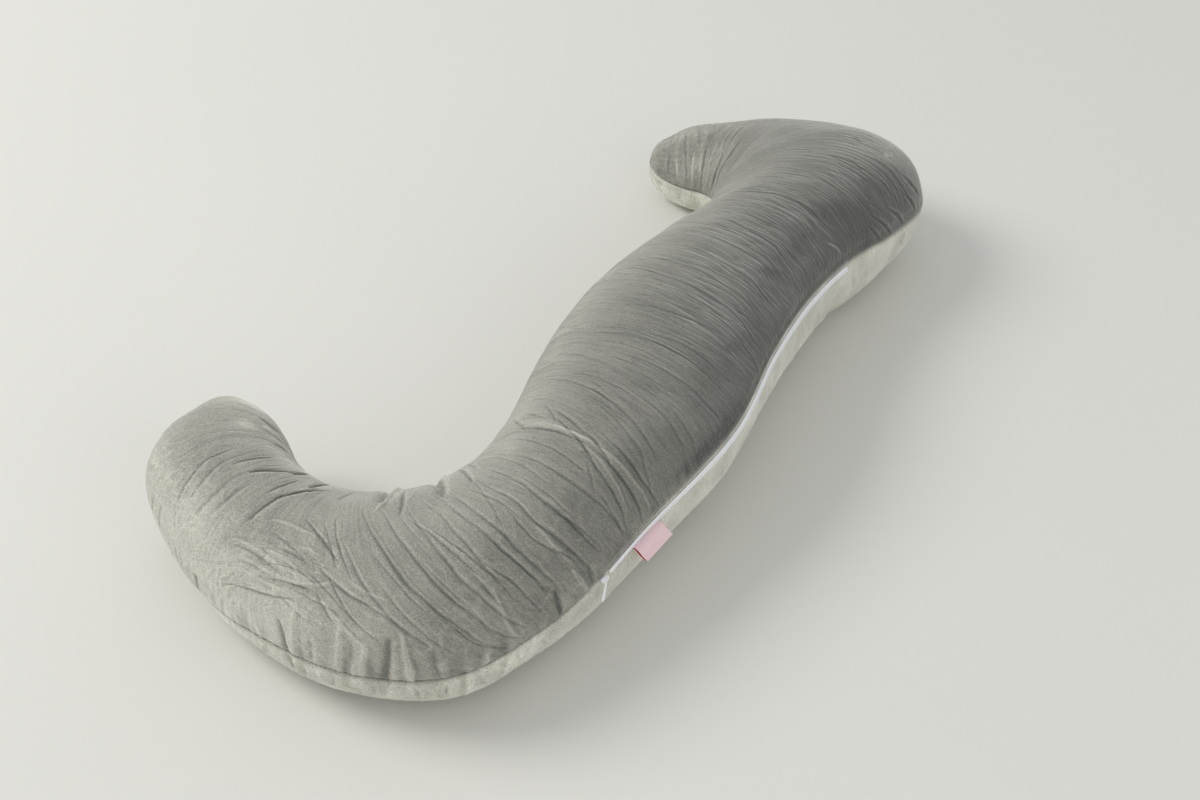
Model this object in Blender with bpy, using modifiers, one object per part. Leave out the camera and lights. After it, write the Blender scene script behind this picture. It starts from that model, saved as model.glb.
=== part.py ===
"""Body pillow: a long filled cushion that lies on its under side, with a wide hook at each end.

Units are metres and +Z is up. The origin is under the middle of the object's box, on the surface
that it lies on. The cushion is a loft of sections along its bent length. Each section runs from
the seam on the inner side of the bend, over the crown, to the seam on the outer side, and back
under the pillow. A zip, its slider and puller, and a folded label are set into the outer seam.
"""

import math

import bmesh
import bpy
import numpy as np
from mathutils import Matrix, Vector

# Sections from the near hook's tip to the far hook's tip.
# inner, outer: the plan position of the seam on the inner and on the outer side of the bend
# height: from the resting surface to the crown
# rise: height of the outer seam, as a share of the height
SECTION_COLUMNS = ("inner_x", "inner_y", "outer_x", "outer_y", "height", "rise")
SECTIONS = (
    (-0.365, -0.109, -0.520, -0.194, 0.197, 0.54),
    (-0.342, -0.217, -0.515, -0.281, 0.205, 0.52),
    (-0.310, -0.274, -0.458, -0.377, 0.208, 0.48),
    (-0.270, -0.304, -0.368, -0.469, 0.206, 0.44),
    (-0.222, -0.314, -0.260, -0.535, 0.208, 0.42),
    (-0.175, -0.301, -0.135, -0.549, 0.210, 0.43),
    (-0.125, -0.264, -0.016, -0.475, 0.208, 0.47),
    (-0.088, -0.189, 0.095, -0.352, 0.216, 0.62),
    (-0.060, -0.085, 0.203, -0.219, 0.221, 0.71),
    (-0.017, 0.024, 0.264, -0.084, 0.226, 0.76),
    (0.043, 0.112, 0.323, 0.039, 0.220, 0.71),
    (0.108, 0.183, 0.390, 0.143, 0.214, 0.64),
    (0.163, 0.236, 0.467, 0.228, 0.211, 0.58),
    (0.191, 0.287, 0.516, 0.316, 0.207, 0.52),
    (0.200, 0.313, 0.505, 0.404, 0.198, 0.51),
    (0.210, 0.331, 0.431, 0.474, 0.178, 0.50),
    (0.212, 0.359, 0.335, 0.526, 0.152, 0.50),
    (0.190, 0.401, 0.238, 0.549, 0.126, 0.50),
    (0.110, 0.433, 0.122, 0.544, 0.112, 0.50),
)

# How the sections are rounded off.
CROWN_POWER = 2.0  # superellipse power above the seam: a plain ellipse
BELLY_POWER = 2.5  # below the seam, fuller
COUNTER_RISE = 0.7  # how far the inner seam sinks as the outer one rises
FLATTENING = 1.04  # the under side is pressed flat where it would go below the surface
NEAR_END, FAR_END = 0.103, 0.083  # length over which each tip closes
END_HEIGHT_POWER = 0.7  # the tips close later in height than in width
RING_POINTS = 32
END_STATIONS, BODY_STATIONS = 8, 40

# Zip: the run of the outer seam that it fills, as shares of the length.
ZIP_FROM, ZIP_TO = 0.366, 0.687
ZIP_STATIONS = 44
ZIP_WIDTH, ZIP_THICKNESS = 0.007, 0.0018
GAP = 0.0006  # clearance of what is sewn on the cover

# Slider and puller, at the zip's lower end.
SLIDER_AT = 0.363
SLIDER_LENGTH, SLIDER_WIDTH, SLIDER_THICKNESS = 0.011, 0.009, 0.0045
PULLER_LENGTH, PULLER_WIDTH, PULLER_THICKNESS = 0.026, 0.006, 0.0016
PULLER_TURN, PULLER_TILT = math.radians(-38), math.radians(8)

# Label: a woven strip, folded in half, with both ends sewn in below the zip.
LABEL_AT = 0.395
LABEL_WIDTH, LABEL_DROP, LABEL_SHEET = 0.047, 0.029, 0.0011
LABEL_OPENING = 0.0022  # between the middles of its two layers
LABEL_DIP = math.radians(14)  # how far it points below level
LABEL_CURL = math.radians(32)  # how far it turns down between the seam and the fold

COVER_COLOUR = (0.235, 0.236, 0.222)
ZIP_COLOUR = (0.72, 0.74, 0.80)
PLASTIC_COLOUR = (0.76, 0.78, 0.82)
LABEL_COLOUR = (0.74, 0.56, 0.57)


def clear_scene():
    for obj in list(bpy.data.objects):
        bpy.data.objects.remove(obj, do_unlink=True)


def material(name, colour, roughness):
    made = bpy.data.materials.new(name)
    made.use_nodes = True
    shader = made.node_tree.nodes["Principled BSDF"]
    shader.inputs["Base Color"].default_value = (*colour, 1.0)
    shader.inputs["Roughness"].default_value = roughness
    shader.inputs["Metallic"].default_value = 0.0
    return made


def add_object(collection, name, mesh, colour, roughness):
    mesh.materials.append(material(name, colour, roughness))
    obj = bpy.data.objects.new(name, mesh)
    collection.objects.link(obj)
    return obj


def mesh_from(name, verts, faces):
    """A mesh whose faces all point outwards."""
    mesh = bpy.data.meshes.new(name)
    mesh.from_pydata(verts, [], faces)
    build = bmesh.new()
    build.from_mesh(mesh)
    bmesh.ops.recalc_face_normals(build, faces=build.faces)
    build.to_mesh(mesh)
    build.free()
    return mesh


# ---- The filled cushion ----


def smooth_through(rows, knots, at):
    """Cubic pieces through the rows, each with the slope that its neighbours give."""
    slopes = np.gradient(rows, knots, axis=0)
    piece = np.clip(np.searchsorted(knots, at, side="right") - 1, 0, len(knots) - 2)
    span = knots[piece + 1] - knots[piece]
    share = (at - knots[piece]) / span
    from_start = 1 + 2 * share
    return (
        rows[piece] * (from_start * (1 - share) ** 2)[:, None]
        + rows[piece + 1] * ((3 - 2 * share) * share**2)[:, None]
        + slopes[piece] * (span * share * (1 - share) ** 2)[:, None]
        - slopes[piece + 1] * (span * share**2 * (1 - share))[:, None]
    )


def ends_closed(along, length):
    """1 along the body, falling to 0 at each tip as a quarter ellipse does."""
    from_near = np.clip(1 - along / NEAR_END, 0, 1)
    from_far = np.clip(1 - (length - along) / FAR_END, 0, 1)
    return np.sqrt((1 - from_near**2) * (1 - from_far**2))


def length_knots(rows):
    """How far along the middle of the cushion each section stands."""
    middles = (rows[:, 0:2] + rows[:, 2:4]) / 2
    steps = np.linalg.norm(np.diff(middles, axis=0), axis=1)
    return np.concatenate([[0], np.cumsum(steps)])


def cushion_rings(shares, turns):
    """Points of the cover: one ring for each share of the length, one point for each turn.

    A turn of 0 is the inner seam, a quarter the crown, a half the outer seam. Across is the
    superellipse's cosine side, and up is its sine side, scaled to the crown above the seam
    and to the resting surface below it. The seam's height changes evenly from side to side.
    """
    rows = np.array(SECTIONS)
    knots = length_knots(rows)
    length = knots[-1]
    along = np.asarray(shares) * length
    column = dict(zip(SECTION_COLUMNS, smooth_through(rows, knots, along).T))
    inner = np.stack([column["inner_x"], column["inner_y"]], axis=1)
    outer = np.stack([column["outer_x"], column["outer_y"]], axis=1)
    closed = ends_closed(along, length)
    middle, half = (inner + outer) / 2, (inner - outer) / 2 * closed[:, None]

    angle = 2 * np.pi * np.asarray(turns)
    power = np.where(np.sin(angle) >= 0, CROWN_POWER, BELLY_POWER)
    across = np.sign(np.cos(angle)) * np.abs(np.cos(angle)) ** (2 / power)
    up = np.sign(np.sin(angle)) * np.abs(np.sin(angle)) ** (2 / power)

    height, outer_rise = column["height"][:, None], column["rise"][:, None]
    inner_rise = 0.5 - COUNTER_RISE * (outer_rise - 0.5)
    seam = height * (outer_rise * (1 - across) + inner_rise * (1 + across)) / 2
    reach = np.where(up >= 0, (height - seam) * up, seam * FLATTENING * up)
    level = np.maximum(seam + reach * closed[:, None] ** END_HEIGHT_POWER, 0)
    plan = middle[:, None, :] + half[:, None, :] * across[None, :, None]
    return np.concatenate([plan, level[:, :, None]], axis=2)


def station_shares():
    """Shares of the length: close together where the tips round off, even along the body."""
    length = length_knots(np.array(SECTIONS))[-1]
    near, far = NEAR_END / length, FAR_END / length
    bend = 1 - np.cos(np.linspace(0, np.pi / 2, END_STATIONS, endpoint=False))
    body = np.linspace(near, 1 - far, BODY_STATIONS)
    return np.concatenate([near * bend, body, (1 - far * bend)[::-1]])


def loft(name, rings):
    """A closed mesh over the rings; the first and the last one have shrunk to a point."""
    count, points = rings.shape[0], rings.shape[1]
    inside = rings[1:-1].reshape(-1, 3)
    verts = [rings[0, 0], *inside, rings[-1, 0]]
    faces = []
    for j in range(points):
        k = (j + 1) % points
        faces.append((0, 1 + k, 1 + j))
        for i in range(count - 3):
            row = 1 + i * points
            faces.append((row + j, row + k, row + points + k, row + points + j))
        row = 1 + (count - 3) * points
        faces.append((row + j, row + k, len(verts) - 1))
    return mesh_from(name, verts, faces)


def ring_turns():
    """Evenly spaced turns, set so that the seam runs down the middle of a face."""
    return (np.arange(RING_POINTS) + 0.5) / RING_POINTS


def make_cushion(collection):
    mesh = loft("cushion", cushion_rings(station_shares(), ring_turns()))
    mesh.shade_smooth()
    return add_object(collection, "cushion", mesh, COVER_COLOUR, 0.9)


# ---- What is set into the outer seam ----


def unit(vectors):
    return vectors / np.linalg.norm(vectors, axis=1)[:, None]


def seam_line(shares):
    """Middle of the outer seam's faces, with the outward and the upward direction there."""
    half_face = 0.5 / RING_POINTS
    rings = cushion_rings(shares, (0.5 - half_face, 0.5, 0.5 + half_face))
    above, below = rings[:, 0], rings[:, 2]
    middle = (above + below) / 2
    along = unit(np.gradient(middle, axis=0))
    outward = unit(np.cross(along, above - below))
    return middle, outward, np.cross(outward, along)


def seam_frame(share):
    """Axes at one place on the seam: X along it to the near hook, Y out of the cover, Z up."""
    middle, outward, upward = seam_line(share + np.array([-0.002, 0, 0.002]))
    outward, upward = Vector(outward[1]), Vector(upward[1])
    frame = Matrix((outward.cross(upward), outward, upward)).transposed().to_4x4()
    frame.translation = Vector(middle[1])
    return frame


def make_zip(collection):
    """The closed coil on its tape: a flat strip that follows the seam."""
    middle, outward, upward = seam_line(np.linspace(ZIP_FROM, ZIP_TO, ZIP_STATIONS))
    corners = ((GAP, 0.5), (GAP, -0.5), (GAP + ZIP_THICKNESS, -0.5), (GAP + ZIP_THICKNESS, 0.5))
    rings = np.stack(
        [middle + outward * out + upward * side * ZIP_WIDTH for out, side in corners], axis=1
    )
    verts = rings.reshape(-1, 3).tolist()
    faces = [(0, 1, 2, 3), tuple(len(verts) - 4 + j for j in (3, 2, 1, 0))]
    for i in range(ZIP_STATIONS - 1):
        for j in range(4):
            k = (j + 1) % 4
            faces.append((4 * i + j, 4 * i + 4 + j, 4 * i + 4 + k, 4 * i + k))
    mesh = mesh_from("zip_strip", verts, faces)
    return add_object(collection, "zip_strip", mesh, ZIP_COLOUR, 0.45)


def rounded_block(name, size, bevel):
    """A block of this size about its own middle, with rounded edges."""
    build = bmesh.new()
    bmesh.ops.create_cube(build, size=1)
    bmesh.ops.scale(build, vec=size, verts=build.verts)
    bmesh.ops.bevel(
        build, geom=build.edges[:], offset=bevel, segments=2, profile=0.5, affect="EDGES"
    )
    mesh = bpy.data.meshes.new(name)
    build.to_mesh(mesh)
    build.free()
    return mesh


def make_slider(collection):
    """The slider's body, closed up against the end of the coil."""
    mesh = rounded_block(
        "zip_slider", (SLIDER_LENGTH, SLIDER_THICKNESS, SLIDER_WIDTH), 0.0012
    )
    slider = add_object(collection, "zip_slider", mesh, PLASTIC_COLOUR, 0.4)
    lift = GAP + SLIDER_THICKNESS / 2
    slider.matrix_world = seam_frame(SLIDER_AT) @ Matrix.Translation((0, lift, 0))
    return slider


def make_puller(collection):
    """The pull tab, hanging from the outer face of the slider."""
    mesh = rounded_block(
        "zip_puller", (PULLER_WIDTH, PULLER_THICKNESS, PULLER_LENGTH), 0.0006
    )
    puller = add_object(collection, "zip_puller", mesh, PLASTIC_COLOUR, 0.4)
    out = GAP * 2 + SLIDER_THICKNESS + PULLER_THICKNESS / 2
    hinge = Matrix.Translation((0, out, 0))
    turn = Matrix.Rotation(PULLER_TURN, 4, "Y") @ Matrix.Rotation(PULLER_TILT, 4, "X")
    hang = Matrix.Translation((0, 0, -PULLER_LENGTH / 2))
    puller.matrix_world = seam_frame(SLIDER_AT) @ hinge @ turn @ hang
    return puller


def label_path():
    """Out from the seam along a shallow downward curve, round the fold, and back under it."""
    steps = np.linspace(0, 1, 9)
    dip = LABEL_DIP + LABEL_CURL * (steps - 0.5)
    stride = LABEL_DROP / (len(steps) - 1)
    out = np.concatenate([[0], np.cumsum(np.cos(dip[1:]) * stride)])
    down = np.concatenate([[0], np.cumsum(np.sin(dip[1:]) * stride)])
    spread = LABEL_OPENING / 2 * np.sqrt(np.clip(1 - steps**6, 0, 1))
    normal = np.stack([np.sin(dip), np.cos(dip)], axis=1)
    line = np.stack([out, -down], axis=1)
    upper = line + normal * spread[:, None]
    lower = line - normal * spread[:, None]
    return np.concatenate([upper, lower[-2::-1]])


def make_label(collection):
    """The folded strip, as a sheet that Solidify gives its thickness."""
    frame = seam_frame(LABEL_AT)
    foot = GAP + LABEL_SHEET
    below_zip = -(ZIP_WIDTH / 2 + LABEL_OPENING / 2 + LABEL_SHEET + GAP)
    path = label_path()
    verts = [
        frame @ Vector((side * LABEL_WIDTH, foot + out, below_zip + up))
        for side in (-0.5, 0.5)
        for out, up in path
    ]
    count = len(path)
    faces = [(i, i + 1, count + i + 1, count + i) for i in range(count - 1)]
    mesh = bpy.data.meshes.new("side_label")
    mesh.from_pydata(verts, [], faces)
    label = add_object(collection, "side_label", mesh, LABEL_COLOUR, 0.8)
    wall = label.modifiers.new("Woven sheet", "SOLIDIFY")
    wall.thickness = LABEL_SHEET
    wall.offset = 0
    return label


def main():
    clear_scene()
    collection = bpy.data.collections.new("body_pillow")
    bpy.context.scene.collection.children.link(collection)
    make_cushion(collection)
    make_zip(collection)
    make_slider(collection)
    make_puller(collection)
    make_label(collection)


main()
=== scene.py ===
# A body pillow: a long filled cushion in a velvet cover, with a wide hook at each end.
# It lies on its under side. A zip with its slider, and a folded label, are sewn into the
# outer seam.

import bmesh
import bpy
import numpy as np
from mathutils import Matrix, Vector


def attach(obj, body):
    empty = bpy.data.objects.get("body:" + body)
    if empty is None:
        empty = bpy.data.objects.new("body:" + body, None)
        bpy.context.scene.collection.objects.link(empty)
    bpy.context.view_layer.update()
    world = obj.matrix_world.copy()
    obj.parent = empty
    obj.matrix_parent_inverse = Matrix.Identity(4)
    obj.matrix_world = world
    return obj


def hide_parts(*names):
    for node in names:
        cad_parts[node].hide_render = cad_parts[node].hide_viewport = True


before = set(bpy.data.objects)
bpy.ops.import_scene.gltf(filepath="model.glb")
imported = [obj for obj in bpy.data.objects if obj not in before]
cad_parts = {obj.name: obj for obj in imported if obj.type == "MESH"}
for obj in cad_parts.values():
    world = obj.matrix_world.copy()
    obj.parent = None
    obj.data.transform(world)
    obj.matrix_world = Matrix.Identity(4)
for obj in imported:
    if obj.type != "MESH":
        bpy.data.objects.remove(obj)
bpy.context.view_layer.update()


# ---- Cushion: its shape ------------------------------------------------------------
# Polyester fibre blown into a long sewn tube. The grey velvet top panel and the paler
# under panel are cut to the bent outline, and one seam joins them all the way round.

# Sections from the near hook's tip to the far hook's tip: the plan position of the seam
# on the inner and on the outer side of the bend, the height of the crown, and the height
# of the outer seam as a share of it.
SECTION_COLUMNS = ("inner_x", "inner_y", "outer_x", "outer_y", "height", "rise")
SECTIONS = (
    (-0.365, -0.109, -0.520, -0.194, 0.197, 0.54),
    (-0.342, -0.217, -0.515, -0.281, 0.205, 0.52),
    (-0.310, -0.274, -0.458, -0.377, 0.208, 0.48),
    (-0.270, -0.304, -0.368, -0.469, 0.206, 0.44),
    (-0.222, -0.314, -0.260, -0.535, 0.208, 0.42),
    (-0.175, -0.301, -0.135, -0.549, 0.210, 0.43),
    (-0.125, -0.264, -0.016, -0.475, 0.208, 0.47),
    (-0.088, -0.189, 0.095, -0.352, 0.216, 0.62),
    (-0.060, -0.085, 0.203, -0.219, 0.221, 0.71),
    (-0.017, 0.024, 0.264, -0.084, 0.226, 0.76),
    (0.043, 0.112, 0.323, 0.039, 0.220, 0.71),
    (0.108, 0.183, 0.390, 0.143, 0.214, 0.64),
    (0.163, 0.236, 0.467, 0.228, 0.211, 0.58),
    (0.191, 0.287, 0.516, 0.316, 0.207, 0.52),
    (0.200, 0.313, 0.505, 0.404, 0.198, 0.51),
    (0.210, 0.331, 0.431, 0.474, 0.178, 0.50),
    (0.212, 0.359, 0.335, 0.526, 0.152, 0.50),
    (0.190, 0.401, 0.238, 0.549, 0.126, 0.50),
    (0.110, 0.433, 0.122, 0.544, 0.112, 0.50),
)
CROWN_POWER, BELLY_POWER = 2.0, 2.5
COUNTER_RISE = 0.7
FLATTENING = 1.04
NEAR_END, FAR_END = 0.103, 0.083
END_HEIGHT_POWER = 0.7

COVER_LENGTH = 1.688  # along the middle of the bend
COVER_GIRTH = 0.66  # round the cover at the thickest part

NEAR_STATIONS, BEND_STATIONS, BODY_STATIONS, FAR_STATIONS = 80, 620, 620, 64
FINE_TO = 0.42  # the near hook and the waist have closer rings
TOP_TURNS, UNDER_TURNS = 320, 110
SEAM_CROWDING = 0.30


def smooth_through(rows, knots, at):
    """Cubic pieces through the rows, each with the slope that its neighbours give."""
    slopes = np.gradient(rows, knots, axis=0)
    piece = np.clip(np.searchsorted(knots, at, side="right") - 1, 0, len(knots) - 2)
    span = knots[piece + 1] - knots[piece]
    share = (at - knots[piece]) / span
    from_start = 1 + 2 * share
    return (
        rows[piece] * (from_start * (1 - share) ** 2)[:, None]
        + rows[piece + 1] * ((3 - 2 * share) * share**2)[:, None]
        + slopes[piece] * (span * share * (1 - share) ** 2)[:, None]
        - slopes[piece + 1] * (span * share**2 * (1 - share))[:, None]
    )


def cover_surface(shares, turns):
    """Points of the cover on a grid: one ring for each share of the length.

    A turn of 0 is the inner seam, a quarter the crown, a half the outer seam. Across is a
    superellipse's cosine side and up its sine side, scaled to the crown above the seam and
    to the resting surface below it. Both shrink to nothing at a tip as a quarter ellipse.
    """
    rows = np.array(SECTIONS)
    middles = (rows[:, 0:2] + rows[:, 2:4]) / 2
    steps = np.linalg.norm(np.diff(middles, axis=0), axis=1)
    knots = np.concatenate([[0], np.cumsum(steps)])
    length = knots[-1]
    along = np.asarray(shares) * length
    column = dict(zip(SECTION_COLUMNS, smooth_through(rows, knots, along).T))
    inner = np.stack([column["inner_x"], column["inner_y"]], axis=1)
    outer = np.stack([column["outer_x"], column["outer_y"]], axis=1)
    from_near = np.clip(1 - along / NEAR_END, 0, 1)
    from_far = np.clip(1 - (length - along) / FAR_END, 0, 1)
    closed = np.sqrt((1 - from_near**2) * (1 - from_far**2))
    middle, half = (inner + outer) / 2, (inner - outer) / 2 * closed[:, None]

    angle = 2 * np.pi * np.asarray(turns)
    power = np.where(np.sin(angle) >= 0, CROWN_POWER, BELLY_POWER)
    across = np.sign(np.cos(angle)) * np.abs(np.cos(angle)) ** (2 / power)
    up = np.sign(np.sin(angle)) * np.abs(np.sin(angle)) ** (2 / power)

    height, outer_rise = column["height"][:, None], column["rise"][:, None]
    inner_rise = 0.5 - COUNTER_RISE * (outer_rise - 0.5)
    seam = height * (outer_rise * (1 - across) + inner_rise * (1 + across)) / 2
    reach = np.where(up >= 0, (height - seam) * up, seam * FLATTENING * up)
    level = np.maximum(seam + reach * closed[:, None] ** END_HEIGHT_POWER, 0)
    plan = middle[:, None, :] + half[:, None, :] * across[None, :, None]
    return np.concatenate([plan, level[:, :, None]], axis=2)


def unit(vectors):
    """The vectors, each divided by its own length."""
    return vectors / np.maximum(np.linalg.norm(vectors, axis=-1, keepdims=True), 1e-12)


def ease(value, low, high):
    """0 below low, 1 above high, and the smooth step 3x^2 - 2x^3 between them."""
    x = np.clip((value - low) / (high - low), 0, 1)
    return x * x * (3 - 2 * x)


near_share, far_share = NEAR_END / COVER_LENGTH, FAR_END / COVER_LENGTH
near_bend = 1 - np.cos(np.linspace(0, np.pi / 2, NEAR_STATIONS, endpoint=False))
far_bend = 1 - np.cos(np.linspace(0, np.pi / 2, FAR_STATIONS, endpoint=False))
shares = np.concatenate(
    [
        near_share * near_bend,
        np.linspace(near_share, FINE_TO, BEND_STATIONS, endpoint=False),
        np.linspace(FINE_TO, 1 - far_share, BODY_STATIONS),
        (1 - far_share * far_bend)[::-1],
    ]
)
over_top, under = np.arange(TOP_TURNS) / TOP_TURNS, np.arange(UNDER_TURNS) / UNDER_TURNS
even = np.concatenate([over_top / 2, 0.5 + under / 2])
turns = even - SEAM_CROWDING * np.sin(4 * np.pi * even) / (4 * np.pi)
surface = cover_surface(shares, turns)
share, turn = shares[:, None], turns[None, :]

along_cover = np.gradient(surface, axis=0)
round_cover = (np.roll(surface, -1, axis=1) - np.roll(surface, 1, axis=1)) / 2
outward = unit(np.cross(round_cover, along_cover))


# ---- Cushion: its filling ----------------------------------------------------------
# The filling swells against the cover. A coarse copy of the cover starts a little smaller
# and is blown up as cloth, held where it rests, and the way it settles is kept.

SOFT_STATIONS, SOFT_TURNS = 150, 68
SOFT_START = 0.004  # how much smaller it starts
SOFT_CAP = 0.0045  # how far a point may end from the plain shape
REST_BAND = 0.003  # points below this height are held
PRESSURE, SETTLING_FRAMES = 4, 20


def ring_quads(rings, points):
    """Faces between rings: each quad joins two neighbours to the same two on the next ring."""
    row = np.arange(rings - 1)[:, None] * points
    here = np.arange(points)[None, :]
    beside = (here + 1) % points
    quads = [row + here, row + beside, row + points + beside, row + points + here]
    return np.stack(quads, axis=2).reshape(-1, 4)


def repeated(faces, copies, points):
    """The faces of one shape of this many points, once for each copy in turn."""
    return (np.arange(copies)[:, None, None] * points + faces).reshape(-1, 4)


def new_object(name, verts, faces):
    """A smooth mesh object in the scene, from its points and its faces."""
    mesh = bpy.data.meshes.new(name)
    mesh.from_pydata(verts, [], faces)
    mesh.shade_smooth()
    made = bpy.data.objects.new(name, mesh)
    bpy.context.scene.collection.objects.link(made)
    return made


def swollen(stations, turn_count):
    """How far each point of a coarse cover ends outside the plain shape, in metres.

    The cover is a closed tube of quads with a flat cap at each tip. It is run as cloth
    with air pressure and no gravity.
    """
    at_shares = 0.5 - 0.5 * np.cos(np.pi * (0.03 + 0.94 * np.linspace(0, 1, stations)))
    at_shares = 0.35 * at_shares + 0.65 * np.linspace(0.008, 0.992, stations)
    at_turns = np.arange(turn_count) / turn_count
    plain = cover_surface(at_shares, at_turns)
    along = np.gradient(plain, axis=0)
    round_it = (np.roll(plain, -1, axis=1) - np.roll(plain, 1, axis=1)) / 2
    normal = unit(np.cross(round_it, along))
    start = plain - normal * SOFT_START * ease(plain[:, :, 2:], 0, 0.03)
    start[:, :, 2] = np.maximum(start[:, :, 2], 0)
    last = (stations - 1) * turn_count
    caps = [list(range(turn_count))[::-1], list(range(last, last + turn_count))]
    faces = ring_quads(stations, turn_count).tolist() + caps
    soft = new_object("soft_cover", start.reshape(-1, 3), faces)
    scene = bpy.context.scene
    resting = soft.vertex_groups.new(name="resting")
    resting.add(np.nonzero(plain[:, :, 2].ravel() < REST_BAND)[0].tolist(), 1.0, "REPLACE")
    cloth = soft.modifiers.new("Cloth", "CLOTH")
    cloth.settings.quality = 5
    cloth.settings.mass = 0.3
    cloth.settings.tension_stiffness = 20
    cloth.settings.compression_stiffness = 12
    cloth.settings.shear_stiffness = 5
    cloth.settings.bending_stiffness = 0.8
    cloth.settings.use_pressure = True
    cloth.settings.uniform_pressure_force = PRESSURE
    cloth.settings.effector_weights.gravity = 0
    cloth.settings.vertex_group_mass = "resting"
    cloth.point_cache.frame_start = 1
    cloth.point_cache.frame_end = SETTLING_FRAMES
    for frame_number in range(1, SETTLING_FRAMES + 1):
        scene.frame_set(frame_number)
    blown = soft.evaluated_get(bpy.context.evaluated_depsgraph_get()).data
    settled = np.empty(len(blown.vertices) * 3)
    blown.vertices.foreach_get("co", settled)
    bpy.data.objects.remove(soft)
    scene.frame_set(1)
    moved = settled.reshape(plain.shape) - plain
    return at_shares, at_turns, np.sum(moved * normal, axis=2)


bulge = np.zeros_like(share + turn)
soft_shares, soft_turns, swell = swollen(SOFT_STATIONS, SOFT_TURNS)
swell = SOFT_CAP * np.tanh((swell - swell.mean()) / SOFT_CAP)
lengthways = smooth_through(swell, soft_shares, np.clip(shares, soft_shares[0], soft_shares[-1]))
closed_round = np.concatenate([lengthways, lengthways[:, :1]], axis=1).T
bulge = smooth_through(closed_round, np.append(soft_turns, 1.0), turns).T


# ---- Cushion: the folds of its cover -----------------------------------------------
# The cover is cut a little fuller than the filling, so it gathers on the inside of each
# bend and lies in fine creases across the body. Velvet holds each fold as a soft crushed
# line, and the stitching pulls small puckers along the seam.

# How far a crease leans along the length, for each turn that it goes round the cover.
LEAN_SHARES = (0, 0.05, 0.10, 0.14, 0.18, 0.22, 0.26, 0.30, 0.34, 0.38, 0.41, 0.46)
LEANS = (-0.06, -0.08, 0.02, -0.06, 0.02, 0.18, 0.27, 0.24, 0.18, 0.10, -0.03, -0.04)
LEAN_SHARES_FAR = (0.50, 0.56, 0.62, 0.70, 0.80, 0.86, 0.93, 1)
LEANS_FAR = (-0.03, -0.12, -0.17, -0.17, -0.23, -0.16, -0.05, 0)
LEAN_FROM = 0.3  # the turn at which a crease stands at its own share
FOLD_MARGIN = 0.02  # how far past its ends a fold can reach, as a share of the length

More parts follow.
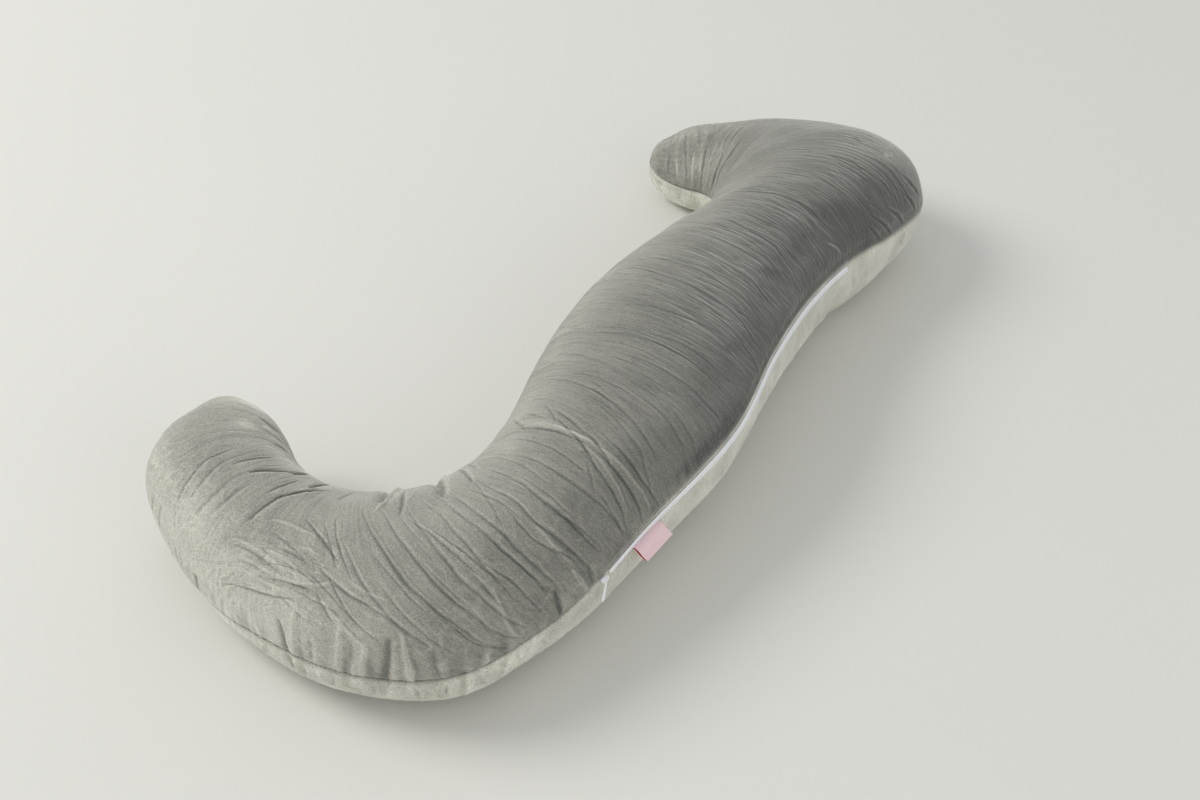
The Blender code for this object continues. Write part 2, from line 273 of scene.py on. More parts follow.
# Single folds: share and turn where it starts and where it ends, in thousandths, then bow,
# half width and depth in millimetres. A negative depth is a raised pleat.
FOLDS = (
    # gathers on the inside of the near hook
    (136, 100, 139, 165, 1, 6, 3.2),
    (139, 150, 124, 245, -3, 2.9, 3.7),
    (166, 90, 163, 180, 1, 6, 3.2),
    (180, 155, 155, 255, -4, 2.7, 3.5),
    (157, 235, 151, 325, 1, 2.4, 2.4),
    (151, 170, 147, 260, 1, 2.2, 1.8),
    (112, 170, 110, 260, 2, 2.5, 1.9),
    (170, 165, 160, 215, 1, 2.2, -1.7),
    (96, 210, 107, 470, -6, 2, 1.5),
    (104, 200, 112, 400, -4, 2, 1.1),
    (122, 250, 118, 400, 2, 2.9, 1),
    (133, 240, 128, 360, 2, 2.4, 1),
    (198, 130, 193, 190, 1, 2.5, 1.5),
    (55, 70, 51, 135, 1, 5, 2.4),
    (67, 80, 63, 135, 1, 4, -1.6),
    (80, 80, 84, 130, -2, 4, 1.8),
    # folds that leave the inside of the bend
    (231, 20, 231, 190, 0, 10, 5),
    (244, 80, 229, 215, 2, 3.2, -2.6),
    (248, 135, 247, 225, 0, 3.1, 2.1),
    (262, 130, 251, 190, 1, 2, -1.2),
    (280, 20, 280, 200, 0, 9, 4.6),
    (293, 80, 286, 200, 1, 3, -1.5),
    (306, 110, 306, 200, 0, 3.6, 2),
    (318, 110, 317, 180, 0, 2.9, 1.2),
    (214, 195, 302, 495, -7, 1.8, 1.5),
    (231, 200, 309, 490, -5, 1.7, 1.4),
    (222, 205, 273, 400, -4, 1.3, 0.8),
    (249, 190, 315, 485, -5, 1.7, 1.4),
    (260, 170, 307, 420, 5, 1.5, 1.2),
    (272, 180, 330, 450, 4, 1.7, 1.1),
    (286, 195, 336, 470, 5, 1.7, 1.3),
    (305, 170, 312, 310, 3, 1.3, 0.9),
    (308, 190, 357, 480, 4, 1.8, 1.4),
    (322, 170, 366, 470, 3, 1.7, 1.2),
    (338, 170, 353, 300, 3, 1.4, 1.1),
    (349, 200, 384, 480, 5, 1.7, 1.2),
    (361, 180, 378, 330, 4, 1.5, 1.2),
    (330, 300, 349, 460, -2, 1.8, -0.8),
    (297, 380, 306, 480, -2, 2, -1),
    # the main fold at the waist
    (376, 165, 397, 300, 3, 2, -1.7),
    (395, 280, 402, 480, 3, 1.8, -1.2),
    (389, 260, 388, 430, 4, 1.6, -1.1),
    (371, 165, 392, 290, 3, 2, 1.5),
    (387, 125, 373, 190, 0, 2.7, 1.5),
    (393, 155, 391, 210, -1, 2, 0.9),
    (405, 185, 392, 230, 0, 1.7, 1.1),
    (402, 200, 397, 280, 2, 2.2, 1.4),
    (396, 215, 384, 340, 1, 1.8, 1.4),
    (398.5, 270, 394, 345, 2, 1.7, 1.4),
    (394, 300, 395, 490, 1, 1.7, 1.5),
    (385, 280, 384, 470, 2, 1.7, 1.2),
    (406, 290, 408, 500, -2, 1.7, 1.2),
    (383, 310, 373, 365, 0, 1.5, 0.7),
    (376, 350, 381, 470, 1, 1.5, 0.8),
    # lines across the body
    (412, 110, 409, 240, 2, 1.7, 0.5),
    (439, 130, 421, 400, 3, 1.7, 1.2),
    (444, 190, 443, 320, 3, 1.6, 0.8),
    (425, 250, 405, 455, 2, 1.7, 0.8),
    (434, 230, 429, 340, 0, 1.4, 0.6),
    (471, 120, 461, 240, 2, 2, 0.7),
    (482, 100, 484, 200, 1, 1.9, 0.7),
    (465, 270, 464, 345, 1, 1.4, 0.7),
    (448, 300, 437, 440, 2, 1.6, 0.7),
    (453, 340, 446, 450, 1, 1.6, 0.7),
    (475, 210, 472, 450, 6, 1.6, 0.9),
    (468, 220, 472, 285, 1, 1.4, 0.7),
    (494, 150, 492, 400, 7, 1.6, 0.8),
    (503, 250, 503, 370, 4, 1.6, 0.8),
    (512, 220, 517, 310, 1, 1.4, 0.4),
    (530, 200, 530, 375, 5, 1.6, 0.7),
    (546, 320, 521, 490, 2, 1.9, 0.8),
    (558, 240, 546, 340, 1, 1.6, 0.7),
    (541, 240, 539, 320, 1, 1.4, 0.5),
    (583, 160, 545, 440, -3, 1.9, 1.1),
    (594, 150, 593, 240, 1, 1.6, 0.7),
    (598, 180, 576, 340, -1, 1.6, 0.8),
    (590, 280, 565, 400, 0, 1.4, 0.5),
    (615, 230, 585, 410, -1, 1.7, 0.9),
    (622, 300, 605, 370, 0, 1.4, 0.5),
    (636, 240, 616, 380, -1, 1.7, 0.8),
    (664, 235, 632, 400, -1, 1.9, 1.1),
    (655, 310, 640, 400, 0, 1.4, 0.5),
    (650, 180, 641, 260, 0, 1.4, 0.4),
    (730, 160, 690, 430, -2, 2, 0.8),
    (745, 140, 722, 230, -2, 1.9, 0.7),
    (718, 150, 700, 220, -1, 1.9, 0.6),
    (764, 200, 735, 350, -2, 1.7, 0.6),
    (680, 280, 668, 340, 0, 1.4, 0.5),
    (705, 240, 690, 320, 0, 1.4, 0.4),
    (800, 210, 756, 470, -5, 1.9, 0.8),
    (812, 240, 773, 460, -6, 1.7, 0.7),
    (780, 160, 765, 240, -1, 1.7, 0.5),
    (742, 360, 744, 460, 1, 1.6, 0.5),
    # far hook, spreading from its inner corner
    (912, 50, 906, 200, 3, 2.6, 1.3),
    (900, 80, 899, 190, 2, 2, -0.9),
    (922, 30, 920, 160, -3, 3.2, 1.4),
    (932, 20, 934, 200, 2, 2.2, -1),
    (941, 10, 946, 190, -2, 2.3, 1.2),
    (952, 20, 955, 170, 2, 2, -0.9),
    (960, 30, 966, 200, -1, 2.2, 1.2),
    (971, 20, 972, 160, 1, 2, -0.9),
    (953, 190, 957, 290, 1, 2.4, 1),
    (937, 230, 937, 330, 1, 2.4, 1),
    (966, 150, 968, 270, 1, 1.9, 1),
    (982, 40, 980, 170, 1, 2.3, 1.1),
    (918, 180, 914, 320, 1, 2.2, 0.8),
    (890, 60, 884, 220, 2, 2.2, 0.6),
    # wavy ripples on the outer side of the near hook
    (160, 303, 199, 290, 8, 1.8, -1.6),
    (183, 262, 215, 320, 3, 1.7, 2.2),
    (148, 366, 189, 364, 8, 1.7, -2),
    (150, 374, 186, 371, 7, 1.7, 1.5),
    (173, 335, 201, 338, 5, 1.6, 1.6),
    (178, 380, 214, 350, -3, 1.7, -1.9),
    (155, 390, 178, 379, 3, 1.7, 1.5),
    (176, 384, 203, 374, 2, 1.8, 2.2),
    (160, 398, 196, 398, 4, 1.6, -1.5),
    (149, 452, 194, 399, 5, 1.8, 2.6),
    (202, 332, 234, 375, -2, 1.7, 2.2),
    (205, 370, 217, 412, -2, 1.7, 1.9),
    (222, 340, 243, 366, -2, 1.3, -1.2),
    (215, 285, 252, 420, -3, 1.6, 1.5),
    (228, 368, 262, 440, 2, 1.6, 1.4),
    (187, 318, 203, 316, 3, 1.5, -1.1),
    (196, 250, 214, 330, 2, 1.2, 1.4),
    (203, 235, 226, 350, -3, 1.2, 1.5),
    (168, 315, 196, 330, 3, 1.2, 1.4),
    (172, 350, 208, 352, -4, 1.2, -1.4),
    (197, 345, 228, 405, 3, 1.2, 1.5),
    (210, 340, 238, 430, -3, 1.2, 1.6),
    (192, 385, 222, 400, 3, 1.2, 1.4),
    (212, 390, 232, 445, 2, 1.3, -1.4),
    (186, 402, 206, 425, -2, 1.2, 1.5),
    (232, 300, 262, 400, 4, 1.1, 1.2),
    (240, 350, 272, 455, -3, 1.2, 1.5),
    (256, 300, 290, 430, 3, 1.1, 1.2),
    (268, 400, 292, 470, -2, 1.2, 1.5),
    (284, 330, 300, 420, 2, 1.1, 1.1),
    (318, 280, 338, 390, -3, 1.1, 1.4),
    (245, 215, 268, 300, -2, 1.2, 0.9),
    (252, 230, 290, 350, 4, 1.3, 1.3),
    (262, 250, 296, 360, 4, 1.2, -0.9),
    (268, 260, 306, 395, 4, 1.2, 1.3),
    (294, 330, 322, 470, 3, 1.2, 1.4),
    (299, 300, 326, 440, 4, 1.2, 1.2),
    (300, 205, 324, 310, 4, 1.2, 1.1),
    (316, 230, 338, 350, 3, 1.2, -0.9),
    (336, 230, 356, 370, 3, 1.2, 1.1),
    (346, 330, 366, 450, 3, 1.2, 1),
    (331, 360, 347, 430, 2, 1.1, 1.1),
    # short pits and pleats in the under panel, close to the seam
    (214, 512, 212, 548, 0, 1.9, 2.2),
    (226, 510, 229, 560, 0, 1.8, -1.6),
    (234, 512, 232, 545, 0, 1.7, 2),
    (251, 510, 254, 552, 0, 1.9, 2.6),
    (258, 512, 262, 560, 1, 1.8, -1.7),
    (267, 510, 266, 545, 0, 1.8, 2.2),
    (283, 512, 287, 560, 1, 1.8, 1.9),
    (293, 512, 300, 565, 1, 1.8, -1.5),
    (304, 510, 307, 550, 0, 1.7, 1.8),
    (318, 512, 324, 560, 1, 1.8, 1.3),
    (198, 515, 196, 560, 0, 1.9, 1.8),
    (174, 530, 170, 575, 0, 2, 1.8),
    (617, 525, 628, 575, 2, 2, 1.8),
    (630, 530, 636, 565, 1, 1.8, 1.4),
    (606, 540, 612, 580, 1, 2.2, -1.2),
    (548, 520, 556, 560, 1, 2, 1.2),
    (716, 530, 730, 590, 2, 2, 1.4),
    (742, 515, 748, 560, 1, 1.9, -1.1),
    (757, 520, 770, 550, 1, 1.9, 1.3),
    (470, 540, 480, 590, 1, 2.2, 0.9),
    # pulls along the seam
    (186, 440, 191, 545, 1, 3.2, 3.7),
    (195, 400, 193, 540, 0, 3.1, -2.3),
    (204, 440, 203, 495, 0, 2.7, 1.4),
    (220, 400, 218, 520, 0, 3.1, -1.9),
    (225, 430, 224, 500, 0, 2.5, 1.4),
    (231, 430, 228, 525, 0, 2.7, -1.8),
    (241, 420, 236, 550, 1, 3.4, 4),
    (247, 410, 251, 510, 1, 2.9, -2.2),
    (262, 440, 264, 500, 0, 2.5, 1.3),
    (276, 490, 274, 575, 0, 3.6, 3.5),
    (288, 470, 284, 530, 0, 3.2, -1.8),
    (298, 500, 294, 570, 0, 3.1, 2.1),
    (312, 490, 309, 560, 0, 2.9, 1.5),
    (330, 440, 331, 500, 0, 3.1, 2.2),
    (343, 430, 350, 495, 0, 2.7, -1.8),
    (353, 450, 354, 498, 0, 3.2, 1.5),
    (127, 490, 122, 560, 0, 3.8, 2.4),
    (150, 470, 143, 550, 0, 3.1, 1.5),
    (77, 430, 73, 510, 0, 3.6, 2.2),
    (88, 430, 85, 500, 0, 3.2, 1.8),
    (681, 400, 684, 460, 0, 2.7, -1.3),
    (733, 410, 740, 490, 0, 3.1, 2),
    (722, 430, 727, 490, 0, 2.7, 1.4),
    (750, 420, 757, 490, 0, 3.1, 2),
    (775, 420, 776, 480, 0, 3.1, 1.7),
    (790, 390, 787, 450, 0, 3.1, 1.7),
    (762, 510, 764, 540, 0, 3.6, 2),
    (700, 520, 712, 570, 0, 3.2, 1.3),
)


def drifting(x, y, seed):
    """Smooth noise from about -1 to 1: random slopes at whole numbers, eased together."""
    angles = np.random.default_rng(seed).uniform(0, 2 * np.pi, (256, 256))
    x0, y0 = np.floor(x).astype(int), np.floor(y).astype(int)
    fx, fy = x - x0, y - y0
    ex, ey = ease(fx, 0, 1), ease(fy, 0, 1)
    total = 0
    for dx, wx in ((0, 1 - ex), (1, ex)):
        for dy, wy in ((0, 1 - ey), (1, ey)):
            angle = angles[(x0 + dx) % 256, (y0 + dy) % 256]
            slope = np.cos(angle) * (fx - dx) + np.sin(angle) * (fy - dy)
            total = total + wx * wy * slope
    return total * 1.5


def fold_height(x, y, start, end, bow, half_width, depth):
    """One fold: a trough across its own line, with a low shoulder on one side of it.

    Along is the share of the way from start to end, and off is the distance from that
    line, bowed sideways by a parabola. The trough is a bell curve of off. It fades at
    both ends as the square root of a parabola does.
    """
    run = np.subtract(end, start)
    reach = np.hypot(*run)
    along = ((x - start[0]) * run[0] + (y - start[1]) * run[1]) / reach**2
    hump = np.clip(4 * along * (1 - along), 0, 1)
    off = ((x - start[0]) * run[1] - (y - start[1]) * run[0]) / reach - bow * hump
    width = half_width * (0.55 + 0.45 * hump)
    trough = np.exp(-(np.abs(off / (0.85 * width)) ** 1.5))
    shoulder = np.exp(-(((off - 1.7 * width) / width) ** 2))
    return depth * np.sqrt(hump) * (0.34 * shoulder - trough)


def ridges(noise, sharpness, power=1):
    """Narrow ridges, 1 high, along the lines where the noise crosses zero."""
    return np.clip(1 - sharpness * np.abs(noise), 0, 1) ** power


def spot(at_share, at_turn, share_reach, turn_reach):
    """A bell over the cover: 1 at this share and turn, and fading over the two reaches."""
    return np.exp(-(((share - at_share) / share_reach) ** 2) - (((turn - at_turn) / turn_reach) ** 2))


def fold_on_cover(row):
    """The rings of the cover that one row's fold crosses, and its height on them."""
    from_share, from_turn, to_share, to_turn, bow, half_width, depth = np.array(row) / 1000
    low = np.searchsorted(shares, min(from_share, to_share) - FOLD_MARGIN)
    high = np.searchsorted(shares, max(from_share, to_share) + FOLD_MARGIN)
    start = (from_share * COVER_LENGTH, from_turn * COVER_GIRTH)
    end = (to_share * COVER_LENGTH, to_turn * COVER_GIRTH)
    rings = slice(low, high)
    return rings, fold_height(waved_x[rings], waved_y[rings], start, end, bow, half_width, depth)


# Distances over the cover, in metres, waved a little so that no fold runs straight.
x = share * COVER_LENGTH + 0 * turn
y = turn * COVER_GIRTH + 0 * share
waved_x = x + 0.0022 * drifting(x / 0.035, y / 0.05, 3) + 0.0009 * drifting(x / 0.012, y / 0.02, 4)
waved_y = y + 0.0030 * drifting(x / 0.04, y / 0.04, 5)

lean = np.interp(share, LEAN_SHARES + LEAN_SHARES_FAR, LEANS + LEANS_FAR)
top_panel = turn < 0.5
lay = share - lean * np.where(top_panel, turn - LEAN_FROM, 0.5 - LEAN_FROM - (turn - 0.5))
seam_turn = 0.5 + 0.060 * np.exp(-(((share - 0.105) / 0.050) ** 2))
above_seam = turn < seam_turn
to_outer_seam = (turn - seam_turn) * COVER_GIRTH
to_seam = np.minimum(np.minimum(turn, 1 - turn) * COVER_GIRTH, np.abs(to_outer_seam))
clear_of_seam = ease(to_seam, 0.001, 0.022)

hand_laid = np.zeros_like(x)
for fold in FOLDS:
    rings, laid = fold_on_cover(fold)
    hand_laid[rings] += laid

# Fine creases: thin valleys where long drawn-out noise crosses zero, so they run with the
# lay of the folds, start and stop, and split as pressed cloth does.
CREASE_SHARES = (0, 0.06, 0.12, 0.20, 0.30, 0.37, 0.42, 0.60, 0.72, 0.82, 0.90, 0.95, 1)
CREASE_DEPTHS = (0.5, 0.8, 0.7, 0.6, 0.7, 0.7, 0.55, 0.5, 0.45, 0.4, 0.4, 0.9, 0.9)
strength = np.interp(share, CREASE_SHARES, CREASE_DEPTHS) / 1000
lay_x = lay * COVER_LENGTH + 0.0015 * drifting(x / 0.03, y / 0.03, 6)
long_noise = drifting(lay_x / 0.0088, waved_y / 0.095, 7)
short_noise = drifting(lay_x / 0.0062, waved_y / 0.050, 8)
patchy = 0.35 + 0.65 * ease(drifting(x / 0.05, y / 0.06, 9), -0.35, 0.45)
valleys = np.exp(-((long_noise / 0.13) ** 2)) * patchy
small_valleys = np.exp(-((short_noise / 0.20) ** 2)) * (1.1 - patchy)
swelling = 0.22 * drifting(lay_x / 0.016, waved_y / 0.08, 10)
fine_laid = strength * (swelling - 0.9 * valleys - 0.55 * small_valleys)

# Crushed velvet near the outer rim of the near hook: short folds in every direction.
CRUMPLE_HEIGHT = 0.0024
crushed = spot(0.085, 0.395, 0.035, 0.075) + 0.7 * spot(0.145, 0.455, 0.022, 0.040)
crumple_noise = drifting(waved_x / 0.013 + y / 0.03, waved_y / 0.017, 11)
crumple_laid = CRUMPLE_HEIGHT * crushed * ridges(crumple_noise, 3.2, 1.5)

# Beside it the cover ripples in arcs round the middle of the outer rim.
RIPPLE_HEIGHT = 0.0016
RIM_SHARE, RIM_TURN = 0.184, 0.505
from_rim_x, from_rim_y = (share - RIM_SHARE) * COVER_LENGTH, (turn - RIM_TURN) * COVER_GIRTH
rim_distance = np.hypot(from_rim_x, from_rim_y)
rim_angle = np.arctan2(from_rim_x, -from_rim_y)
ripple_noise = drifting(
    rim_distance / 0.011 + 0.5 * drifting(x / 0.02, y / 0.02, 16), rim_angle / 0.45, 17
)
ripple_reach = np.exp(-(((rim_distance - 0.088) / 0.036) ** 2) - ((rim_angle / 0.75) ** 2))
ripples = RIPPLE_HEIGHT * ripple_reach * ridges(ripple_noise, 3.4, 1.4)
crumple_laid = crumple_laid + ripples * np.where(above_seam, 1, 0)

# All over the near hook and the bend the pile is crinkled, more towards the outer rim.
CRINKLE_HEIGHT, SMALL_CRINKLE_HEIGHT, CRINKLE_SUNK = 0.0010, 0.0005, 0.0004
crinkle_reach = ease(share, 0.03, 0.12) * (1 - ease(share, 0.33, 0.40)) * ease(turn, 0.16, 0.42)
crinkle_reach = crinkle_reach * (0.3 + 0.7 * ease(drifting(x / 0.045, y / 0.045, 18), -0.3, 0.4))
crinkle_x, crinkle_y = waved_x / 0.017 - waved_y / 0.045, waved_y / 0.021
crinkle = ridges(drifting(crinkle_x, crinkle_y, 19), 3.6, 1.4)
small_crinkle = ridges(drifting(crinkle_x * 2.1, crinkle_y * 1.9, 20), 3)
crinkled = CRINKLE_HEIGHT * crinkle + SMALL_CRINKLE_HEIGHT * small_crinkle - CRINKLE_SUNK
far_crinkle = 0.5 * ease(share, 0.90, 0.94) * ease(0.42 - turn, 0, 0.1) * ease(turn, 0, 0.04)
crinkle_reach = np.maximum(crinkle_reach, far_crinkle)
near_under = 0.35 + 0.55 * (1 - ease(share, 0.30, 0.36))
crumple_laid = crumple_laid + crinkled * np.where(above_seam, crinkle_reach, near_under)

# The seam: a stitched groove, the roll of the filling on both sides, and the puckers that
# the thread pulls. Where the zip lies the groove is a shallow bed with a lip on each side.
ZIP_FROM, ZIP_TO = 0.366, 0.687
BED_FADE = 0.004
GROOVE_DEPTH, ROLL_DEPTH, BED_DEPTH = 0.0026, 0.0016, 0.0026
LIP_HEIGHT, PUCKER_HEIGHT, BEND_PUCKERS = 0.0012, 0.0010, 0.0012
zip_bed = ease(share, ZIP_FROM - BED_FADE, ZIP_FROM + BED_FADE) * (
    1 - ease(share, ZIP_TO - BED_FADE, ZIP_TO + BED_FADE)
)
zip_bed = zip_bed * np.where(np.abs(turn - 0.5) < 0.25, 1, 0)
roll = ROLL_DEPTH * np.exp(-((to_seam / 0.012) ** 2))
groove = -GROOVE_DEPTH * np.exp(-((to_seam / 0.0022) ** 2)) - roll
bed = -BED_DEPTH * np.exp(-(((to_outer_seam + 0.0010) / 0.0052) ** 4))
lips = LIP_HEIGHT * np.exp(-(((to_outer_seam - 0.0085) / 0.0032) ** 2))
pulled = 0.4 + 0.6 * ease(drifting(x / 0.06, y * 0 + 0.3, 12), -0.3, 0.4)
pucker_wave = drifting(x / 0.0075, y / 0.09, 13)
at_bend = np.exp(-(((share - 0.22) / 0.09) ** 2)) * ease(turn, 0.3, 0.4)
gathered = PUCKER_HEIGHT - 0.0006 * ease(share, 0.42, 0.5) + BEND_PUCKERS * at_bend
puckers = gathered * pulled * pucker_wave * np.exp(-(((to_seam - 0.009) / 0.014) ** 2))
seam_laid = groove * (1 - zip_bed) + (bed + lips) * zip_bed + puckers

# The filling is not quite even.
LUMP_HEIGHT, SMALL_LUMP_HEIGHT = 0.0016, 0.0010
lumps = LUMP_HEIGHT * drifting(x / 0.10, y / 0.11 * 2 / 3 * 4, 14)
lumps = lumps + SMALL_LUMP_HEIGHT * drifting(x / 0.05, y / 0.055, 15)
lumps = lumps * ease(to_seam, 0, 0.04)

lifted = ease(surface[:, :, 2], 0.002, 0.030)
tips = ease(share, 0.0015, 0.03) * (1 - ease(share, 0.985, 0.9985))
height = hand_laid * ease(to_seam, -0.004, 0.010) + (fine_laid + crumple_laid) * clear_of_seam
height = (height * tips + seam_laid * ease(share, 0.0005, 0.01) + lumps) * lifted
height = height + bulge * ease(to_seam, 0, 0.02) * ease(surface[:, :, 2], 0.004, 0.04) * tips
surface = surface + outward * height[:, :, None]
surface[:, :, 2] = np.maximum(surface[:, :, 2], 0)


def closed_tube(name, rings):
    """A closed mesh over the rings: quads from ring to ring, and a fan at each tip."""
    count, points = rings.shape[:2]
    tips = [rings[0].mean(axis=0), rings[-1].mean(axis=0)]
    verts = np.concatenate([rings[1:-1].reshape(-1, 3), tips])
    here = np.arange(points)
    beside = (here + 1) % points
    last = (count - 3) * points
    fan_near = np.stack([np.full(points, last + points), beside, here], axis=1)
    fan_far = np.stack([last + here, last + beside, np.full(points, last + points + 1)], axis=1)
    faces = ring_quads(count - 2, points).tolist() + fan_near.tolist() + fan_far.tolist()
    return new_object(name, verts, faces)


def give_values(piece, name, values):
    """Stores one number for each vertex of a closed tube, under this attribute name."""
    ends = [values[0].mean(), values[-1].mean()]
    flat = np.concatenate([values[1:-1].ravel(), ends]).astype(np.float32)
    piece.data.attributes.new(name, "FLOAT", "POINT").data.foreach_set("value", flat)


def give_map(piece, name, u, v, far_tip=(0, 0)):
    """Stores a map on a closed tube, from two numbers for each vertex."""
    along = np.stack([u, v], axis=2)[1:-1].reshape(-1, 2)
    at_vertex = np.concatenate([along, [(0, 0), far_tip]])
    loop_verts = np.empty(len(piece.data.loops), np.int32)
    piece.data.loops.foreach_get("vertex_index", loop_verts)
    made = piece.data.uv_layers.new(name=name)
    made.data.foreach_set("uv", at_vertex[loop_verts].astype(np.float32).ravel())


cushion = closed_tube("velvet_cushion", surface)

# The seam's thread: one short bead for each stitch, sunk in the groove on both sides. A
# bead is a ring of six points carried along a lens-shaped outline, which closes to a point.
STITCH_PITCH, STITCH_LENGTH, STITCH_WIDTH = 0.0042, 0.0027, 0.0008
STITCH_PROUD = 0.0003
STITCHED_FROM, STITCHED_TO = 0.03, 0.97
UNSTITCHED_FROM, UNSTITCHED_TO = 0.358, 0.69  # on the outer side, where the zip lies
BEAD_RINGS, BEAD_POINTS = 6, 6

stitch_count = int(COVER_LENGTH * (STITCHED_TO - STITCHED_FROM) / STITCH_PITCH)
stitch_shares = np.linspace(STITCHED_FROM, STITCHED_TO, stitch_count)
seam_at = np.interp(seam_turn[:, 0], turns, np.arange(len(turns)))
ring, column = np.arange(len(shares)), seam_at.astype(int)
past = (seam_at - column)[:, None]
outer_seam = surface[ring, column] * (1 - past) + surface[ring, column + 1] * past
bead_at = np.linspace(-1, 1, BEAD_RINGS)
bead_round = np.sqrt(np.clip(1 - bead_at**2, 0, 1))[:, None]
angle = np.arange(BEAD_POINTS) / BEAD_POINTS * 2 * np.pi


def at_stitches(values):
    """The values at the middle of each stitch, from those on every ring of the cover."""
    return np.stack([np.interp(stitch_shares, shares, axis) for axis in values.T], axis=1)


def seam_beads(seam_points, seam_normals):
    """The rings of every bead along a seam: ahead, out of the cover and sideways from it."""
    place, normal = at_stitches(seam_points), unit(at_stitches(seam_normals))
    ahead = unit(np.gradient(place, axis=0))
    sideways = np.cross(normal, ahead)
    length = (bead_at * STITCH_LENGTH / 2)[None, :, None, None]
    lift = (STITCH_PROUD + bead_round * np.sin(angle) * STITCH_WIDTH / 2)[None, :, :, None]
    width = (bead_round * np.cos(angle) * STITCH_WIDTH / 2)[None, :, :, None]
    place, normal = place[:, None, None], normal[:, None, None]
    return place + ahead[:, None, None] * length + normal * lift + sideways[:, None, None] * width


outer_beads = seam_beads(outer_seam, outward[ring, column])
stitched = (stitch_shares < UNSTITCHED_FROM) | (stitch_shares > UNSTITCHED_TO)
beads = np.concatenate([outer_beads[stitched], seam_beads(surface[:, 0], outward[:, 0])])
bead_quads = ring_quads(BEAD_RINGS, BEAD_POINTS)
bead_quads = repeated(bead_quads, len(beads), BEAD_RINGS * BEAD_POINTS)
seam_thread = new_object("seam_thread", beads.reshape(-1, 3), bead_quads.tolist())


# ---- Cushion: its velvet -----------------------------------------------------------
# Short-pile polyester velvet. It looks dark where the pile leans to the viewer and pale where it has
# been brushed the other way or is seen from its side.
# Its base colour also holds painted light and shade: a broad painted tone over the body, painted shade
# in the folds and creases, and painted highlights beside them.

TOP_DEEP, TOP_BRUSHED = (0.100, 0.103, 0.095), (0.520, 0.505, 0.440)
UNDER_DEEP, UNDER_BRUSHED = (0.500, 0.490, 0.420), (0.800, 0.780, 0.690)
PILE_HEIGHT = 0.0011
# How close the streaks, fine lines and arcs lie, for each metre across and along them.
STREAKS, FINE_LINES, ARCS = (190.0, 22.0), (125.0, 10.0), (62.0, 15.0)
STREAK_TONE = 0.035
# Painted shade in the hollows of the folds and a painted highlight on their raised sides, both drawn
# from the fold heights:
FOLD_SHADE_AT, FOLD_HIGHLIGHT_AT = -1.6, 2.4  # millimetres at which a fold is darkest and palest
FOLD_SHADE_TONE, FOLD_HIGHLIGHT_TONE = -0.36, 0.54
STREAK_RELIEF, LINE_RELIEF, EDGE_RELIEF = 0.2, -1.5, 0.35
# Painted shade along a fine crease and a painted highlight on the edge beside it:
CREASE_LINE_SHADE, CREASE_EDGE_HIGHLIGHT = 0.30, 0.13  # a fine crease, and the edge beside it
# A fold's raised side gets a stronger painted highlight, up to a limit in metres:
RAISED_SIDE_HIGHLIGHT, HIGHLIGHT_LIMIT = 1.7, 0.0013  # how much a fold's raised side shows, and its limit
STITCH_SHADE = 0.58  # how dark the stitched line is beside the plain velvet
THREAD_COLOUR = (0.20, 0.20, 0.185)

# Broad tone along the crown, from 0, deep, to 1, brushed: partly the lay of the pile and partly painted
# light and shade.
TONE_SHARES = (0, 0.08, 0.20, 0.30, 0.40, 0.50, 0.60, 0.72, 0.82, 0.90, 1)
NAP_AND_LIGHT_TONES = (0.52, 0.50, 0.52, 0.45, 0.36, 0.27, 0.24, 0.20, 0.18, 0.24, 0.40)

# How strongly the finest crease lines show.
LINE_SHARES = (0, 0.05, 0.12, 0.20, 0.30, 0.40, 0.60, 0.80, 0.90, 1)
LINES = (0.15, 0.25, 0.30, 0.35, 0.50, 0.75, 0.85, 0.75, 0.35, 0.2)

# Patches of brushed pile and of painted light and shade, among them a painted sheen along the inner
# side of the body and painted shade on its outer side:
# share and turn of the middle, reach each way, and how much paler.
PILE_AND_LIGHT_PATCHES = (
    (0.10, 0.43, 0.08, 0.09, 0.46),
    (0.18, 0.45, 0.07, 0.06, 0.36),
    (0.03, 0.15, 0.05, 0.10, 0.25),
    (0.065, 0.175, 0.004, 0.020, 0.55),
    (0.355, 0.185, 0.010, 0.030, 0.18),
    (0.465, 0.465, 0.035, 0.020, -0.28),
    (0.45, 0.12, 0.20, 0.06, 0.32),
    (0.70, 0.14, 0.16, 0.05, 0.14),
    (0.64, 0.42, 0.20, 0.11, -0.27),
    (0.28, 0.25, 0.12, 0.12, 0.07),
    (0.62, 0.20, 0.20, 0.06, 0.06),
    (0.35, 0.38, 0.07, 0.08, -0.07),
    (0.805, 0.352, 0.003, 0.004, 0.60),
    (0.808, 0.362, 0.002, 0.003, 0.50),
    (0.97, 0.27, 0.03, 0.06, 0.25),
    (0.95, 0.10, 0.035, 0.10, 0.22),
    (0.935, 0.31, 0.025, 0.04, 0.16),
    (0.90, 0.02, 0.02, 0.07, 0.20),
)

